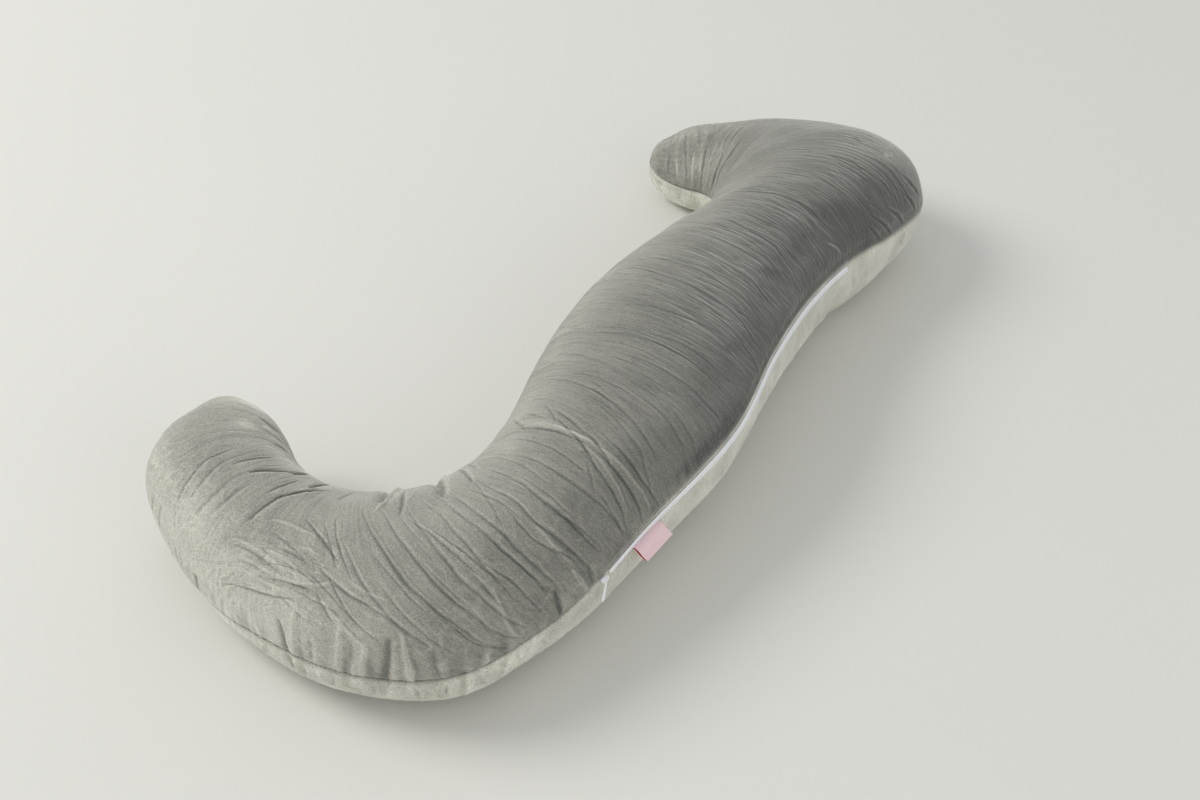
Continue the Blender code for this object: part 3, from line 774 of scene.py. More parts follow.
# Crushed lines, where the pile lies flat: the same as for a fold, but the last number is
# how much paler it is, in thousandths.
CRUSHED = (
    (905, 20, 915, 230, 3, 1.8, 220),
    (913, 20, 930, 200, -3, 1.6, 240),
    (935, 10, 938, 180, 3, 1.6, 240),
    (955, 10, 957, 160, -2, 1.8, 260),
    (970, 30, 975, 200, 2, 1.8, 220),
    (948, 200, 951, 320, 2, 1.8, 180),
    (377, 150, 397, 300, 3, 3, 480),
    (383, 170, 394, 260, 2, 4.5, 140),
    (396, 290, 402, 430, 3, 1.5, 200),
    (391, 300, 391, 440, 3, 1.3, 180),
    (262, 330, 300, 470, 3, 1, 150),
    (275, 300, 305, 420, 3, 1, 150),
    (306, 270, 330, 420, 4, 1, 180),
    (236, 330, 262, 440, 2, 1.1, 150),
    (205, 345, 233, 430, -3, 1.2, 180),
    (160, 352, 196, 350, 7, 1.3, 200),
    (176, 372, 213, 366, 4, 1.3, 180),
    (168, 405, 204, 410, 3, 1.4, 180),
    (181, 290, 212, 345, 3, 1.2, 160),
    (944, 60, 950, 220, 2, 2.2, 220),
    (926, 50, 927, 230, 2, 2.2, 180),
    (962, 80, 966, 240, -1, 2, 200),
)

# Broad tone of the velvet: crushed lines of flat pile, plus the painted light and shade of the tone
# table and the patches. Below the seam it is the under panel's tone, darker towards the near hook.
nap_and_light_tone = np.interp(share, TONE_SHARES, NAP_AND_LIGHT_TONES) + 0 * turn
for crushed_line in CRUSHED:
    rings, laid = fold_on_cover(crushed_line)
    nap_and_light_tone[rings] -= np.minimum(laid, 0)
for at_share, at_turn, share_reach, turn_reach, paler in PILE_AND_LIGHT_PATCHES:
    nap_and_light_tone = nap_and_light_tone + paler * spot(at_share, at_turn, share_reach, turn_reach)
under_tone = 0.50 - 0.38 * (1 - ease(share, 0.22, 0.36)) + 0.5 * drifting(x / 0.03, y / 0.03, 21)
nap_and_light_tone = np.where(above_seam, nap_and_light_tone, np.clip(under_tone, 0, 1))
# Fold, pucker and crinkle heights in millimetres, which set the painted shade in their hollows and the
# painted highlight on their raised sides.
placed_fold_shading = hand_laid * np.where(hand_laid > 0, RAISED_SIDE_HIGHLIGHT, 1.0)
placed_fold_shading = np.minimum(placed_fold_shading, HIGHLIGHT_LIMIT)
fold_shading_mm = (placed_fold_shading + 0.7 * fine_laid + 0.75 * crumple_laid + puckers) * 1000 * lifted
give_values(cushion, "nap_and_light_tone", nap_and_light_tone)
give_values(cushion, "fold_shading", fold_shading_mm)
arc_reach = np.exp(-(((rim_distance - 0.095) / 0.050) ** 2) - ((rim_angle / 0.95) ** 2))
arc_reach = arc_reach * ease(drifting(x / 0.035, y / 0.035, 22), -0.35, 0.30)
line_patches = ease(drifting(x / 0.06, y / 0.05, 23), -0.35, 0.35)
line_patches = line_patches * (1 - ease(share, 0.36, 0.46)) + ease(share, 0.36, 0.46)
line_strength = np.interp(share, LINE_SHARES, LINES) * clear_of_seam * (0.45 + 0.55 * patchy)
line_strength = line_strength * line_patches * (1 - 0.8 * arc_reach)
line_strength = line_strength * (1 - 0.6 * ease(share, 0.42, 0.50) * ease(turn, 0.37, 0.45))
give_values(cushion, "fine_creases", np.where(above_seam, line_strength, 0.25 * line_strength))
give_values(cushion, "under_panel", ease(to_outer_seam, 0, 0.001) * np.where(turn < 0.999, 1, 0))
give_values(cushion, "arc_lines", np.where(above_seam, arc_reach * clear_of_seam, 0))
give_values(cushion, "stitch_line", np.exp(-((to_seam / 0.0018) ** 2)) * (1 - zip_bed))

# The lay of the folds as a map: across it in u and along it in v, both in metres.
give_map(cushion, "lay", lay * COVER_LENGTH, y, (COVER_LENGTH, 0))

# The arcs of the ripples as a second map: out from the rim in u and round it in v.
RIM_RADIUS = 0.09  # turns the angle round the rim into metres
give_map(cushion, "rim", rim_distance, rim_angle * RIM_RADIUS)


def node(tree, kind, **settings):
    """Adds a node; a setting is one of its properties, or an input by its name."""
    made = tree.nodes.new(kind)
    for name, value in settings.items():
        if hasattr(made, name):
            setattr(made, name, value)
        else:
            made.inputs[name.replace("_", " ")].default_value = value
    return made


def new_group(name, inputs, outputs):
    """An empty shader group with these named inputs, each with its value, and outputs."""
    group = bpy.data.node_groups.new(name, "ShaderNodeTree")
    for label, kind, value in inputs:
        socket = group.interface.new_socket(label, in_out="INPUT", socket_type=kind)
        if value is not None:
            socket.default_value = value
    for label, kind in outputs:
        group.interface.new_socket(label, in_out="OUTPUT", socket_type=kind)
    entry = group.nodes.new("NodeGroupInput")
    leave = group.nodes.new("NodeGroupOutput")
    return group, entry, leave


def make_uneven_dye():
    """Two sizes of cloud noise about 1, to multiply a colour by: blotches and flecks."""
    group, entry, leave = new_group(
        "Uneven dye",
        (
            ("Place", "NodeSocketVector", None),
            ("Blotch Scale", "NodeSocketFloat", 20.0),
            ("Fleck Scale", "NodeSocketFloat", 400.0),
            ("Blotches", "NodeSocketFloat", 0.2),
            ("Flecks", "NodeSocketFloat", 0.1),
        ),
        (("Shade", "NodeSocketFloat"),),
    )
    link = group.links.new
    blotch = node(group, "ShaderNodeTexNoise", Detail=3.0, Roughness=0.55)
    fleck = node(group, "ShaderNodeTexNoise", Detail=2.0, Roughness=0.6)
    link(entry.outputs["Place"], blotch.inputs["Vector"])
    link(entry.outputs["Place"], fleck.inputs["Vector"])
    link(entry.outputs["Blotch Scale"], blotch.inputs["Scale"])
    link(entry.outputs["Fleck Scale"], fleck.inputs["Scale"])
    total = None
    for noise, amount in ((blotch, "Blotches"), (fleck, "Flecks")):
        centred = node(group, "ShaderNodeMath", operation="SUBTRACT")
        centred.inputs[1].default_value = 0.5
        link(noise.outputs["Fac"], centred.inputs[0])
        scaled = node(group, "ShaderNodeMath", operation="MULTIPLY_ADD")
        link(centred.outputs[0], scaled.inputs[0])
        link(entry.outputs[amount], scaled.inputs[1])
        if total is None:
            scaled.inputs[2].default_value = 1.0
        else:
            link(total.outputs[0], scaled.inputs[2])
        total = scaled
    link(total.outputs[0], leave.inputs["Shade"])
    return group


def make_pile():
    """Height of cut pile: small tufts from fine noise, with soft clumps of them."""
    group, entry, leave = new_group(
        "Cut pile",
        (
            ("Place", "NodeSocketVector", None),
            ("Tuft Scale", "NodeSocketFloat", 900.0),
            ("Clump Scale", "NodeSocketFloat", 220.0),
        ),
        (("Height", "NodeSocketFloat"),),
    )
    link = group.links.new
    tuft = node(group, "ShaderNodeTexNoise", Detail=2.0, Roughness=0.7)
    clump = node(group, "ShaderNodeTexNoise", Detail=3.0, Roughness=0.6)
    link(entry.outputs["Place"], tuft.inputs["Vector"])
    link(entry.outputs["Place"], clump.inputs["Vector"])
    link(entry.outputs["Tuft Scale"], tuft.inputs["Scale"])
    link(entry.outputs["Clump Scale"], clump.inputs["Scale"])
    both = node(group, "ShaderNodeMath", operation="MULTIPLY_ADD")
    both.inputs[1].default_value = 0.6
    link(tuft.outputs["Fac"], both.inputs[0])
    link(clump.outputs["Fac"], both.inputs[2])
    link(both.outputs[0], leave.inputs["Height"])
    return group


uneven_dye, cut_pile = make_uneven_dye(), make_pile()


def use_group(tree, group, place, **values):
    """Places a group in a material, its Place linked and its other inputs set."""
    made = tree.nodes.new("ShaderNodeGroup")
    made.node_tree = group
    tree.links.new(place, made.inputs["Place"])
    for name, value in values.items():
        made.inputs[name.replace("_", " ")].default_value = value
    return made


def read_value(tree, name):
    """One of the numbers stored on the cushion."""
    return node(tree, "ShaderNodeAttribute", attribute_name=name).outputs["Fac"]


def mix_colours(tree, factor, first, second, blend="MIX"):
    """Mixes two colours, each a socket or three numbers, by a socket or a number."""
    made = node(tree, "ShaderNodeMix", data_type="RGBA", blend_type=blend)
    for socket, value in ((made.inputs[0], factor), (made.inputs[6], first), (made.inputs[7], second)):
        if isinstance(value, bpy.types.NodeSocket):
            tree.links.new(value, socket)
        elif isinstance(value, tuple):
            socket.default_value = (*value, 1.0)
        else:
            socket.default_value = value
    return made.outputs[2]


def sums(tree, operation, *values):
    """A Math node on up to three sockets or numbers."""
    made = node(tree, "ShaderNodeMath", operation=operation)
    for socket, value in zip(made.inputs, values):
        if isinstance(value, bpy.types.NodeSocket):
            tree.links.new(value, socket)
        else:
            socket.default_value = value
    return made.outputs[0]


def ramp(tree, value, low, high, to_low=0.0, to_high=1.0):
    """Map Range: low to high becomes to_low to to_high, and no further."""
    made = node(tree, "ShaderNodeMapRange", clamp=True)
    tree.links.new(value, made.inputs["Value"])
    for name, number in zip(("From Min", "From Max", "To Min", "To Max"), (low, high, to_low, to_high)):
        made.inputs[name].default_value = number
    return made.outputs["Result"]


def new_material(name, roughness):
    """A material with its Principled shader, and the places on the object to read."""
    material = bpy.data.materials.new(name)
    material.use_nodes = True
    tree = material.node_tree
    shader = tree.nodes["Principled BSDF"]
    shader.inputs["Roughness"].default_value = roughness
    place = node(tree, "ShaderNodeTexCoord").outputs["Object"]
    return material, tree, shader, place


def stretched_noise(tree, uv_map, across, along, **settings):
    """Noise on one of the piece's maps, drawn out by its two scales, across and along."""
    stretched = node(tree, "ShaderNodeMapping")
    stretched.inputs["Scale"].default_value = (across, along, 1.0)
    on_map = node(tree, "ShaderNodeUVMap", uv_map=uv_map).outputs["UV"]
    tree.links.new(on_map, stretched.inputs["Vector"])
    noise = node(tree, "ShaderNodeTexNoise", Scale=1.0, **settings)
    tree.links.new(stretched.outputs["Vector"], noise.inputs["Vector"])
    return noise.outputs["Fac"]


def crease_lines(tree, noise, shown, line_half, edge_at, edge_half):
    """Lines where the noise crosses its middle, and an edge beside each of them: masks for the painted
    shade in a crease and the painted highlight on its edge.
    """
    beside = sums(tree, "SUBTRACT", noise, 0.5)
    line = ramp(tree, sums(tree, "ABSOLUTE", beside), 0.0, line_half, 1.0, 0.0)
    edge = sums(tree, "ABSOLUTE", sums(tree, "SUBTRACT", beside, edge_at))
    edge = ramp(tree, edge, 0.0, edge_half, 1.0, 0.0)
    return sums(tree, "MULTIPLY", line, shown), sums(tree, "MULTIPLY", edge, shown)


def colour_it(tree, shader, colour, shade):
    """Base colour: the colour, a socket or three numbers, times the shade."""
    shaded = mix_colours(tree, 1.0, colour, shade, "MULTIPLY")
    tree.links.new(shaded, shader.inputs["Base Color"])


def dye_it(tree, shader, place, colour, blotch_scale, fleck_scale, blotches, flecks):
    """Base colour from one colour, dyed unevenly. Gives back the shade it was made with."""
    dye = use_group(tree, uneven_dye, place, Blotch_Scale=blotch_scale, Fleck_Scale=fleck_scale)
    dye.inputs["Blotches"].default_value = blotches
    dye.inputs["Flecks"].default_value = flecks
    colour_it(tree, shader, colour, dye.outputs["Shade"])
    return dye.outputs["Shade"]


def raise_it(tree, shader, height, strength, distance):
    """Relief: the height bumps the surface by this strength and distance."""
    bump = node(tree, "ShaderNodeBump", Strength=strength, Distance=distance)
    tree.links.new(height, bump.inputs["Height"])
    tree.links.new(bump.outputs["Normal"], shader.inputs["Normal"])


velvet, tree, shader, place = new_material("Velvet", 0.92)
dye = use_group(
    tree, uneven_dye, place, Blotch_Scale=17.0, Fleck_Scale=600.0, Blotches=0.5, Flecks=1.5
)
streaks = stretched_noise(tree, "lay", *STREAKS, Detail=3.0, Roughness=0.6)
lay_noise = stretched_noise(tree, "lay", *FINE_LINES, Detail=1.0, Roughness=0.5)
shown = read_value(tree, "fine_creases")
fine_lines, fine_highlit_edges = crease_lines(
    tree, lay_noise, shown, line_half=0.028, edge_at=0.042, edge_half=0.026
)
rim_noise = stretched_noise(tree, "rim", *ARCS, Detail=1.0, Roughness=0.5, Distortion=0.7)
shown = read_value(tree, "arc_lines")
arc_lines, arc_highlit_edges = crease_lines(
    tree, rim_noise, shown, line_half=0.016, edge_at=0.024, edge_half=0.016
)
hairline = sums(tree, "ADD", fine_lines, arc_lines)
highlit_edge = sums(tree, "ADD", fine_highlit_edges, arc_highlit_edges)

# How pale the velvet is drawn: the broad tone, partly painted light and shade, the streaks of the lay,
# and the painted shade and highlight of the folds.
streak_tone = ramp(tree, streaks, 0.3, 0.7, -STREAK_TONE, STREAK_TONE)
painted_fold_shading = ramp(tree, read_value(tree, "fold_shading"), FOLD_SHADE_AT, FOLD_HIGHLIGHT_AT, FOLD_SHADE_TONE, FOLD_HIGHLIGHT_TONE)
pile_and_painted_light = sums(tree, "ADD", read_value(tree, "nap_and_light_tone"), sums(tree, "ADD", streak_tone, painted_fold_shading))
pile_and_painted_light = ramp(tree, pile_and_painted_light, 0.0, 1.0)
top_colour = mix_colours(tree, pile_and_painted_light, TOP_DEEP, TOP_BRUSHED)
under_colour = mix_colours(tree, pile_and_painted_light, UNDER_DEEP, UNDER_BRUSHED)
colour = mix_colours(tree, read_value(tree, "under_panel"), top_colour, under_colour)
in_stitches = ramp(tree, read_value(tree, "stitch_line"), 0.0, 1.0, 1.0, STITCH_SHADE)
# Painted shade along the fine creases and a painted highlight on the edge beside each.
painted_crease_light = sums(tree, "MULTIPLY_ADD", hairline, -CREASE_LINE_SHADE, 1.0)
painted_crease_light = sums(tree, "MULTIPLY_ADD", highlit_edge, CREASE_EDGE_HIGHLIGHT, painted_crease_light)
shade = sums(tree, "MULTIPLY", dye.outputs["Shade"], painted_crease_light)
colour_it(tree, shader, colour, sums(tree, "MULTIPLY", shade, in_stitches))

pile = use_group(tree, cut_pile, place, Tuft_Scale=750.0, Clump_Scale=190.0)
rough = ramp(tree, pile.outputs["Height"], 0.4, 1.2, 0.84, 0.98)
tree.links.new(rough, shader.inputs["Roughness"])
relief = sums(tree, "MULTIPLY_ADD", streaks, STREAK_RELIEF, pile.outputs["Height"])
relief = sums(tree, "MULTIPLY_ADD", hairline, LINE_RELIEF, relief)
relief = sums(tree, "MULTIPLY_ADD", highlit_edge, EDGE_RELIEF, relief)
raise_it(tree, shader, relief, 0.6, PILE_HEIGHT)
shader.inputs["Sheen Weight"].default_value = 0.9
shader.inputs["Sheen Roughness"].default_value = 0.42
shader.inputs["Sheen Tint"].default_value = (0.93, 0.92, 0.86, 1.0)
shader.inputs["Specular IOR Level"].default_value = 0.15
cushion.data.materials.append(velvet)

thread, tree, shader, place = new_material("Seam thread", 0.7)
dye_it(tree, shader, place, THREAD_COLOUR, 50.0, 900.0, 0.3, 0.2)
seam_thread.data.materials.append(thread)
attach(seam_thread, "root")

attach(cushion, "root")
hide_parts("cushion")


# ---- Zip: its tape and coil --------------------------------------------------------
# A closed nylon coil zip, sewn into the outer seam with its coil outwards. Two rows of
# moulded loops interlock along the middle, and the woven tape shows at both sides.

ZIP_WIDTH = 0.007
GAP = 0.0006
RING_POINTS = 32
TAPE_STATIONS, WIRE_RINGS = 330, 6
TAPE_ARCH, TAPE_PROUD, TAPE_RELIEF = 0.0012, GAP - 0.0002, 0.0003
DRAWN_TO = 0.62  # how narrow the zip is drawn beside the slider
ZIP_TILT = 0.42  # how far it turns its face up, as out over up
COIL_PITCH = 0.00125
COIL_WIDTH = 0.0042
COIL_WIRE = 0.00048
COIL_RISE, COIL_PROUD = 0.0008, GAP + 0.0006
COIL_INSET = 0.0006  # how far short of the zip's ends the coil stops, as a share
TAPE_COLOUR = (0.93, 0.94, 0.965)
COIL_COLOUR = (0.94, 0.95, 0.975)


def seam_line(at_shares):
    """Middle of the outer seam, with the outward and the upward direction there."""
    half_face = 0.5 / RING_POINTS
    rings = cover_surface(at_shares, (0.5 - half_face, 0.5, 0.5 + half_face))
    above, below = rings[:, 0], rings[:, 2]
    middle = (above + below) / 2
    along = unit(np.gradient(middle, axis=0))
    out = unit(np.cross(along, above - below))
    return middle, out, np.cross(out, along)


def drawn_in(count):
    """How wide the zip stands at each of its stations: narrow beside the slider."""
    return DRAWN_TO + (1 - DRAWN_TO) * ease(np.linspace(0, 1, count), 0.02, 0.35)


# The tape is a flat ring of eight points carried along the seam, a little arched. It is
# drawn narrow at the slider, where the cover's edges close over it.
middle, out, up = seam_line(np.linspace(ZIP_FROM, ZIP_TO, TAPE_STATIONS))
tape_out = np.array([0.0, 0.0, 0.0, 0.45, 0.75, 0.80, 0.75, 0.45]) * TAPE_ARCH
tape_side = np.array([0.5, 0.0, -0.5, -0.5, -0.28, 0.0, 0.28, 0.5]) * ZIP_WIDTH
tape_side = drawn_in(TAPE_STATIONS)[:, None] * tape_side[None, :]
tape_rings = (
    middle[:, None]
    + out[:, None] * (TAPE_PROUD + tape_out[None, :] - ZIP_TILT * tape_side)[:, :, None]
    + up[:, None] * tape_side[:, :, None]
)
tape_points = len(tape_out)
last = (TAPE_STATIONS - 1) * tape_points
tape_ends = [list(range(tape_points)), list(range(last, last + tape_points))[::-1]]
tape_faces = ring_quads(TAPE_STATIONS, tape_points)[:, [0, 3, 2, 1]].tolist() + tape_ends
zip_tape = new_object("zip_tape", tape_rings.reshape(-1, 3), tape_faces)

# Each loop of the coil is a bent wire: a square ring carried over an arch from the middle
# of the zip to its side, leaning along the zip by half a pitch.
zip_length = np.linalg.norm(np.diff(middle, axis=0), axis=1).sum()
loop_count = int(zip_length / COIL_PITCH)
base, out, up = seam_line(np.linspace(ZIP_FROM + COIL_INSET, ZIP_TO - COIL_INSET, loop_count))
forward = np.cross(up, out)
bend = np.linspace(0, 1, WIRE_RINGS)
side = np.where(np.arange(loop_count) % 2 == 0, 1.0, -1.0)[:, None]
wire_side = side * (COIL_WIDTH / 2 * (bend * 1.25 - 0.25))[None, :]
wire_side = wire_side * drawn_in(loop_count)[:, None]
arch = COIL_RISE * np.sqrt(np.clip(1 - (bend * 1.1 - 0.2) ** 2, 0, 1))
wire_out = (COIL_PROUD + arch)[None, :] - ZIP_TILT * wire_side
wire_lean = (COIL_PITCH * 0.45 * (bend - 0.5))[None, :] + 0 * side
centre_line = (
    base[:, None]
    + up[:, None] * wire_side[:, :, None]
    + out[:, None] * wire_out[:, :, None]
    + forward[:, None] * wire_lean[:, :, None]
)
corner = np.array([[1, 0], [0, 1], [-1, 0], [0, -1]]) * COIL_WIRE / 2
loops = (
    centre_line[:, :, None]
    + out[:, None, None] * corner[None, None, :, 0, None]
    + forward[:, None, None] * corner[None, None, :, 1, None]
)
wire_points = WIRE_RINGS * len(corner)
wire_ends = [[3, 2, 1, 0], list(range(wire_points - 4, wire_points))]
wire_faces = np.concatenate([ring_quads(WIRE_RINGS, len(corner)), wire_ends])
wire_faces = repeated(wire_faces, loop_count, wire_points)
zip_coil = new_object("zip_coil", loops.reshape(-1, 3), wire_faces.tolist())

tape_weave, tree, shader, place = new_material("Zip tape", 0.75)
dye_it(tree, shader, place, TAPE_COLOUR, 60.0, 1500.0, 0.1, 0.2)
threads = use_group(tree, cut_pile, place, Tuft_Scale=2200.0, Clump_Scale=900.0)
raise_it(tree, shader, threads.outputs["Height"], 0.5, TAPE_RELIEF)
zip_tape.data.materials.append(tape_weave)

nylon, tree, shader, place = new_material("Zip coil nylon", 0.38)
dyed = dye_it(tree, shader, place, COIL_COLOUR, 40.0, 900.0, 0.08, 0.06)
rough = ramp(tree, dyed, 0.95, 1.05, 0.34, 0.44)
tree.links.new(rough, shader.inputs["Roughness"])
zip_coil.data.materials.append(nylon)

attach(zip_tape, "root")
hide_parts("zip_strip")
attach(zip_coil, "root")


# ---- Zip: its slider and puller ----------------------------------------------------
# A small moulded slider, closed up against the lower end of the coil. Its pull tab hangs
# from a bridge on the outer face.

SLIDER_AT = 0.3615
SLIDER_LENGTH, SLIDER_WIDTH, SLIDER_THICKNESS = 0.0105, 0.0078, 0.0040
BRIDGE_WIDTH, BRIDGE_THICKNESS, BRIDGE_RISE = 0.0022, 0.0008, 0.0021
BRIDGE_REACH = SLIDER_LENGTH * 0.36
PULLER_LENGTH, PULLER_WIDTH, PULLER_THICKNESS = 0.0255, 0.0054, 0.0014
PULLER_TURN, PULLER_TILT = np.radians(-38), np.radians(8)
BLOCK_RINGS, BLOCK_POINTS, TAB_RINGS = 20, 36, 40
SLIDER_COLOUR = (0.92, 0.93, 0.955)


def seam_point_at(at_share):
    """One point of the outer seam, with the outward and the upward direction there."""
    middle, out, up = seam_line(at_share + np.array([-0.002, 0, 0.002]))
    return middle[1], out[1], up[1]


def squared(value, power):
    """The value's size raised to the power, with the value's own sign."""
    return np.sign(value) * np.abs(value) ** power


def block(half_sizes, squareness, taper):
    """A closed rounded block: a superellipsoid, with its width tapered along its length.

    The parameters are latitude and longitude. Each axis is a sine or cosine raised to the
    squareness, and the width at one end is the taper times the width at the other.
    """
    latitude = np.linspace(-np.pi / 2, np.pi / 2, BLOCK_RINGS)[:, None]
    longitude = (np.arange(BLOCK_POINTS) / BLOCK_POINTS * 2 * np.pi)[None, :]
    long_way = squared(np.sin(latitude), squareness) + 0 * longitude
    girth = squared(np.cos(latitude), squareness)
    wide = girth * squared(np.cos(longitude), squareness)
    wide = wide * (1 + (taper - 1) * (0.5 - long_way / 2))
    thick = girth * squared(np.sin(longitude), squareness)
    return np.stack([long_way, wide, thick], axis=2) * half_sizes


slider_point, slider_out, slider_up = seam_point_at(SLIDER_AT)
slider_along = np.cross(slider_out, slider_up)
tilted_out = unit(slider_out + ZIP_TILT * slider_up)
tilted_up = unit(np.cross(slider_along, tilted_out))


def in_slider_frame(local):
    """Along the zip to the near hook, up across it and out of the cover, in metres."""
    return (
        slider_point
        + local[..., 0:1] * slider_along
        + local[..., 1:2] * tilted_up
        + local[..., 2:3] * tilted_out
    )


def add_piece(name, verts, faces, material):
    """A mesh object in the scene, welded where its rings close to a point."""
    made = new_object(name, verts.reshape(-1, 3), faces.tolist())
    build = bmesh.new()
    build.from_mesh(made.data)
    bmesh.ops.remove_doubles(build, verts=build.verts, dist=1e-6)
    bmesh.ops.recalc_face_normals(build, faces=build.faces)
    build.to_mesh(made.data)
    build.free()
    made.data.materials.append(material)
    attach(made, "root")
    return made


plastic, tree, shader, place = new_material("Slider plastic", 0.36)
dyed = dye_it(tree, shader, place, SLIDER_COLOUR, 90.0, 1200.0, 0.12, 0.06)
rough = ramp(tree, dyed, 0.94, 1.06, 0.30, 0.44)
tree.links.new(rough, shader.inputs["Roughness"])

# Two plates, one on each side of the coil, joined by a post, make the slider's body.
plate = block((SLIDER_LENGTH / 2, SLIDER_WIDTH / 2, SLIDER_THICKNESS * 0.2), 0.45, 0.62)
lower_plate = plate + (0, 0, GAP + SLIDER_THICKNESS * 0.2)
upper_plate = plate + (0, 0, GAP + SLIDER_THICKNESS * 0.8)
post = block((SLIDER_LENGTH * 0.16, SLIDER_WIDTH * 0.2, SLIDER_THICKNESS * 0.42), 0.5, 1.0)
post = post + (SLIDER_LENGTH * 0.26, 0, GAP + SLIDER_THICKNESS / 2)
# The bridge is a flat bar carried over a half ellipse from end to end of the upper plate.
sweep = np.linspace(0.02, 0.98, BLOCK_RINGS) * np.pi
arch_x, arch_z = np.cos(sweep)[:, None] * BRIDGE_REACH, np.sin(sweep)[:, None] * BRIDGE_RISE
ring = np.arange(BLOCK_POINTS) / BLOCK_POINTS * 2 * np.pi
bar_y = squared(np.cos(ring), 0.5) * BRIDGE_WIDTH / 2 + 0 * arch_x
bar_z = squared(np.sin(ring), 0.5) * BRIDGE_THICKNESS / 2 + 0 * arch_x
bridge_x = arch_x * (1 + bar_z / BRIDGE_REACH)
bridge = np.stack([bridge_x, bar_y, GAP + SLIDER_THICKNESS + arch_z + bar_z], axis=2)
bridge[[0, -1]] = bridge[[0, -1]].mean(axis=1, keepdims=True)
parts = np.stack([lower_plate, upper_plate, post, bridge])
faces = ring_quads(BLOCK_RINGS, BLOCK_POINTS)
faces = repeated(faces, len(parts), BLOCK_RINGS * BLOCK_POINTS)
slider_body = add_piece("zip_slider_body", in_slider_frame(parts), faces, plastic)
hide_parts("zip_slider")

# The pull tab narrows to an eye at its top, which goes through the bridge, and widens
# and thins towards its rounded foot.
down = np.linspace(0, 1, TAB_RINGS)
tab_widths = np.interp(down, (0, 0.08, 0.3, 0.85, 1), (0.5, 0.62, 0.7, 1.0, 0.9))
tab_thicknesses = np.interp(down, (0, 0.15, 1), (1.0, 0.9, 0.7))
rounding = np.sqrt(np.clip(1 - np.abs(2 * down - 1) ** 14, 0, 1))
tab_x = (PULLER_WIDTH / 2 * tab_widths * rounding)[:, None] * squared(np.cos(ring), 0.4)
tab_y = (PULLER_THICKNESS / 2 * tab_thicknesses * rounding)[:, None] * squared(np.sin(ring), 0.4)
groove_line = np.exp(-(((down - 0.62) / 0.22) ** 4))[:, None] * np.exp(-((tab_x / 0.0011) ** 4))
tab_y = tab_y * (1 - 0.35 * groove_line)
tab_z = -(down * PULLER_LENGTH)[:, None] + 0 * tab_x


def hang(local):
    """Tilts the tab out about its own width, then turns it along the zip, as it hangs."""
    tab_x, tab_y, tab_z = local[..., 0], local[..., 1], local[..., 2]
    out_y = tab_y * np.cos(PULLER_TILT) - tab_z * np.sin(PULLER_TILT)
    out_z = tab_y * np.sin(PULLER_TILT) + tab_z * np.cos(PULLER_TILT)
    turned_x = tab_x * np.cos(PULLER_TURN) + out_z * np.sin(PULLER_TURN)
    turned_z = out_z * np.cos(PULLER_TURN) - tab_x * np.sin(PULLER_TURN)
    lift = GAP * 2 + SLIDER_THICKNESS + PULLER_THICKNESS / 2
    return (
        slider_point
        + (turned_x + SLIDER_LENGTH * 0.2)[..., None] * slider_along
        + (out_y + lift)[..., None] * slider_out
        + turned_z[..., None] * slider_up
    )


tab = hang(np.stack([tab_x, tab_y, tab_z], axis=2))
puller = add_piece("zip_pull_tab", tab, ring_quads(TAB_RINGS, BLOCK_POINTS), plastic)
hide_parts("zip_puller")


# ---- Label -------------------------------------------------------------------------
# A woven polyester strip, folded in half with both ends sewn in below the zip. It stands
# out from the seam and curls down a little. Its face is bare.

LABEL_AT = 0.395
LABEL_WIDTH, LABEL_DROP, LABEL_SHEET = 0.047, 0.0250, 0.0005
LABEL_OPENING = 0.0042
LABEL_DIVE, LABEL_TWIST = 46, 7  # degrees
LABEL_LEVEL, LABEL_FOOT = -0.0036, 0.0010
LABEL_COLOUR, LABEL_BACK = (0.93, 0.69, 0.72), (0.62, 0.03, 0.03)
LABEL_COLUMNS, LABEL_STEPS = 60, 40
RIB_SCALE = 1 / 0.0011 / 3.14  # for a rib about every millimetre
RIB_RELIEF = 0.0003

# Its two layers leave the seam level, dive, and flatten out towards the fold, where they
# meet in a half circle. Between the seam and the fold they stand a little apart.
seam_point, seam_out, seam_up = seam_point_at(LABEL_AT)
seam_along = np.cross(seam_out, seam_up)
steps = np.linspace(0, 1, LABEL_STEPS)
across = np.linspace(-0.5, 0.5, LABEL_COLUMNS)[:, None]
dip = np.radians(1 + LABEL_DIVE * np.sin(np.pi * steps) ** 2)[None, :]
dip = dip + np.radians(LABEL_TWIST) * across
stride = LABEL_DROP / (LABEL_STEPS - 1)
line_out = np.cumsum(np.cos(dip) * stride, axis=1) - np.cos(dip[:, :1]) * stride
line_up = -np.cumsum(np.sin(dip) * stride, axis=1) + np.sin(dip[:, :1]) * stride
spread = LABEL_OPENING / 2 * (0.25 + 0.75 * np.sin(np.pi * steps**0.8))
spread = spread * np.sqrt(np.clip(1 - steps**10, 0, 1))
upper_out, upper_up = line_out + np.sin(dip) * spread, line_up + np.cos(dip) * spread
lower_out, lower_up = line_out - np.sin(dip) * spread, line_up - np.cos(dip) * spread
path_out = LABEL_FOOT + np.concatenate([upper_out, lower_out[:, -2::-1]], axis=1)
path_up = LABEL_LEVEL + np.concatenate([upper_up, lower_up[:, -2::-1]], axis=1)
cloth = (
    seam_point
    + seam_along * (across * LABEL_WIDTH)[:, :, None]
    + seam_out * path_out[:, :, None]
    + seam_up * path_up[:, :, None]
)
path_count = path_out.shape[1]
row = np.arange(LABEL_COLUMNS - 1)[:, None] * path_count
here = row + np.arange(path_count - 1)[None, :]
quads = np.stack([here, here + path_count, here + path_count + 1, here + 1], axis=2)
label = new_object("side_label_cloth", cloth.reshape(-1, 3), quads.reshape(-1, 4).tolist())
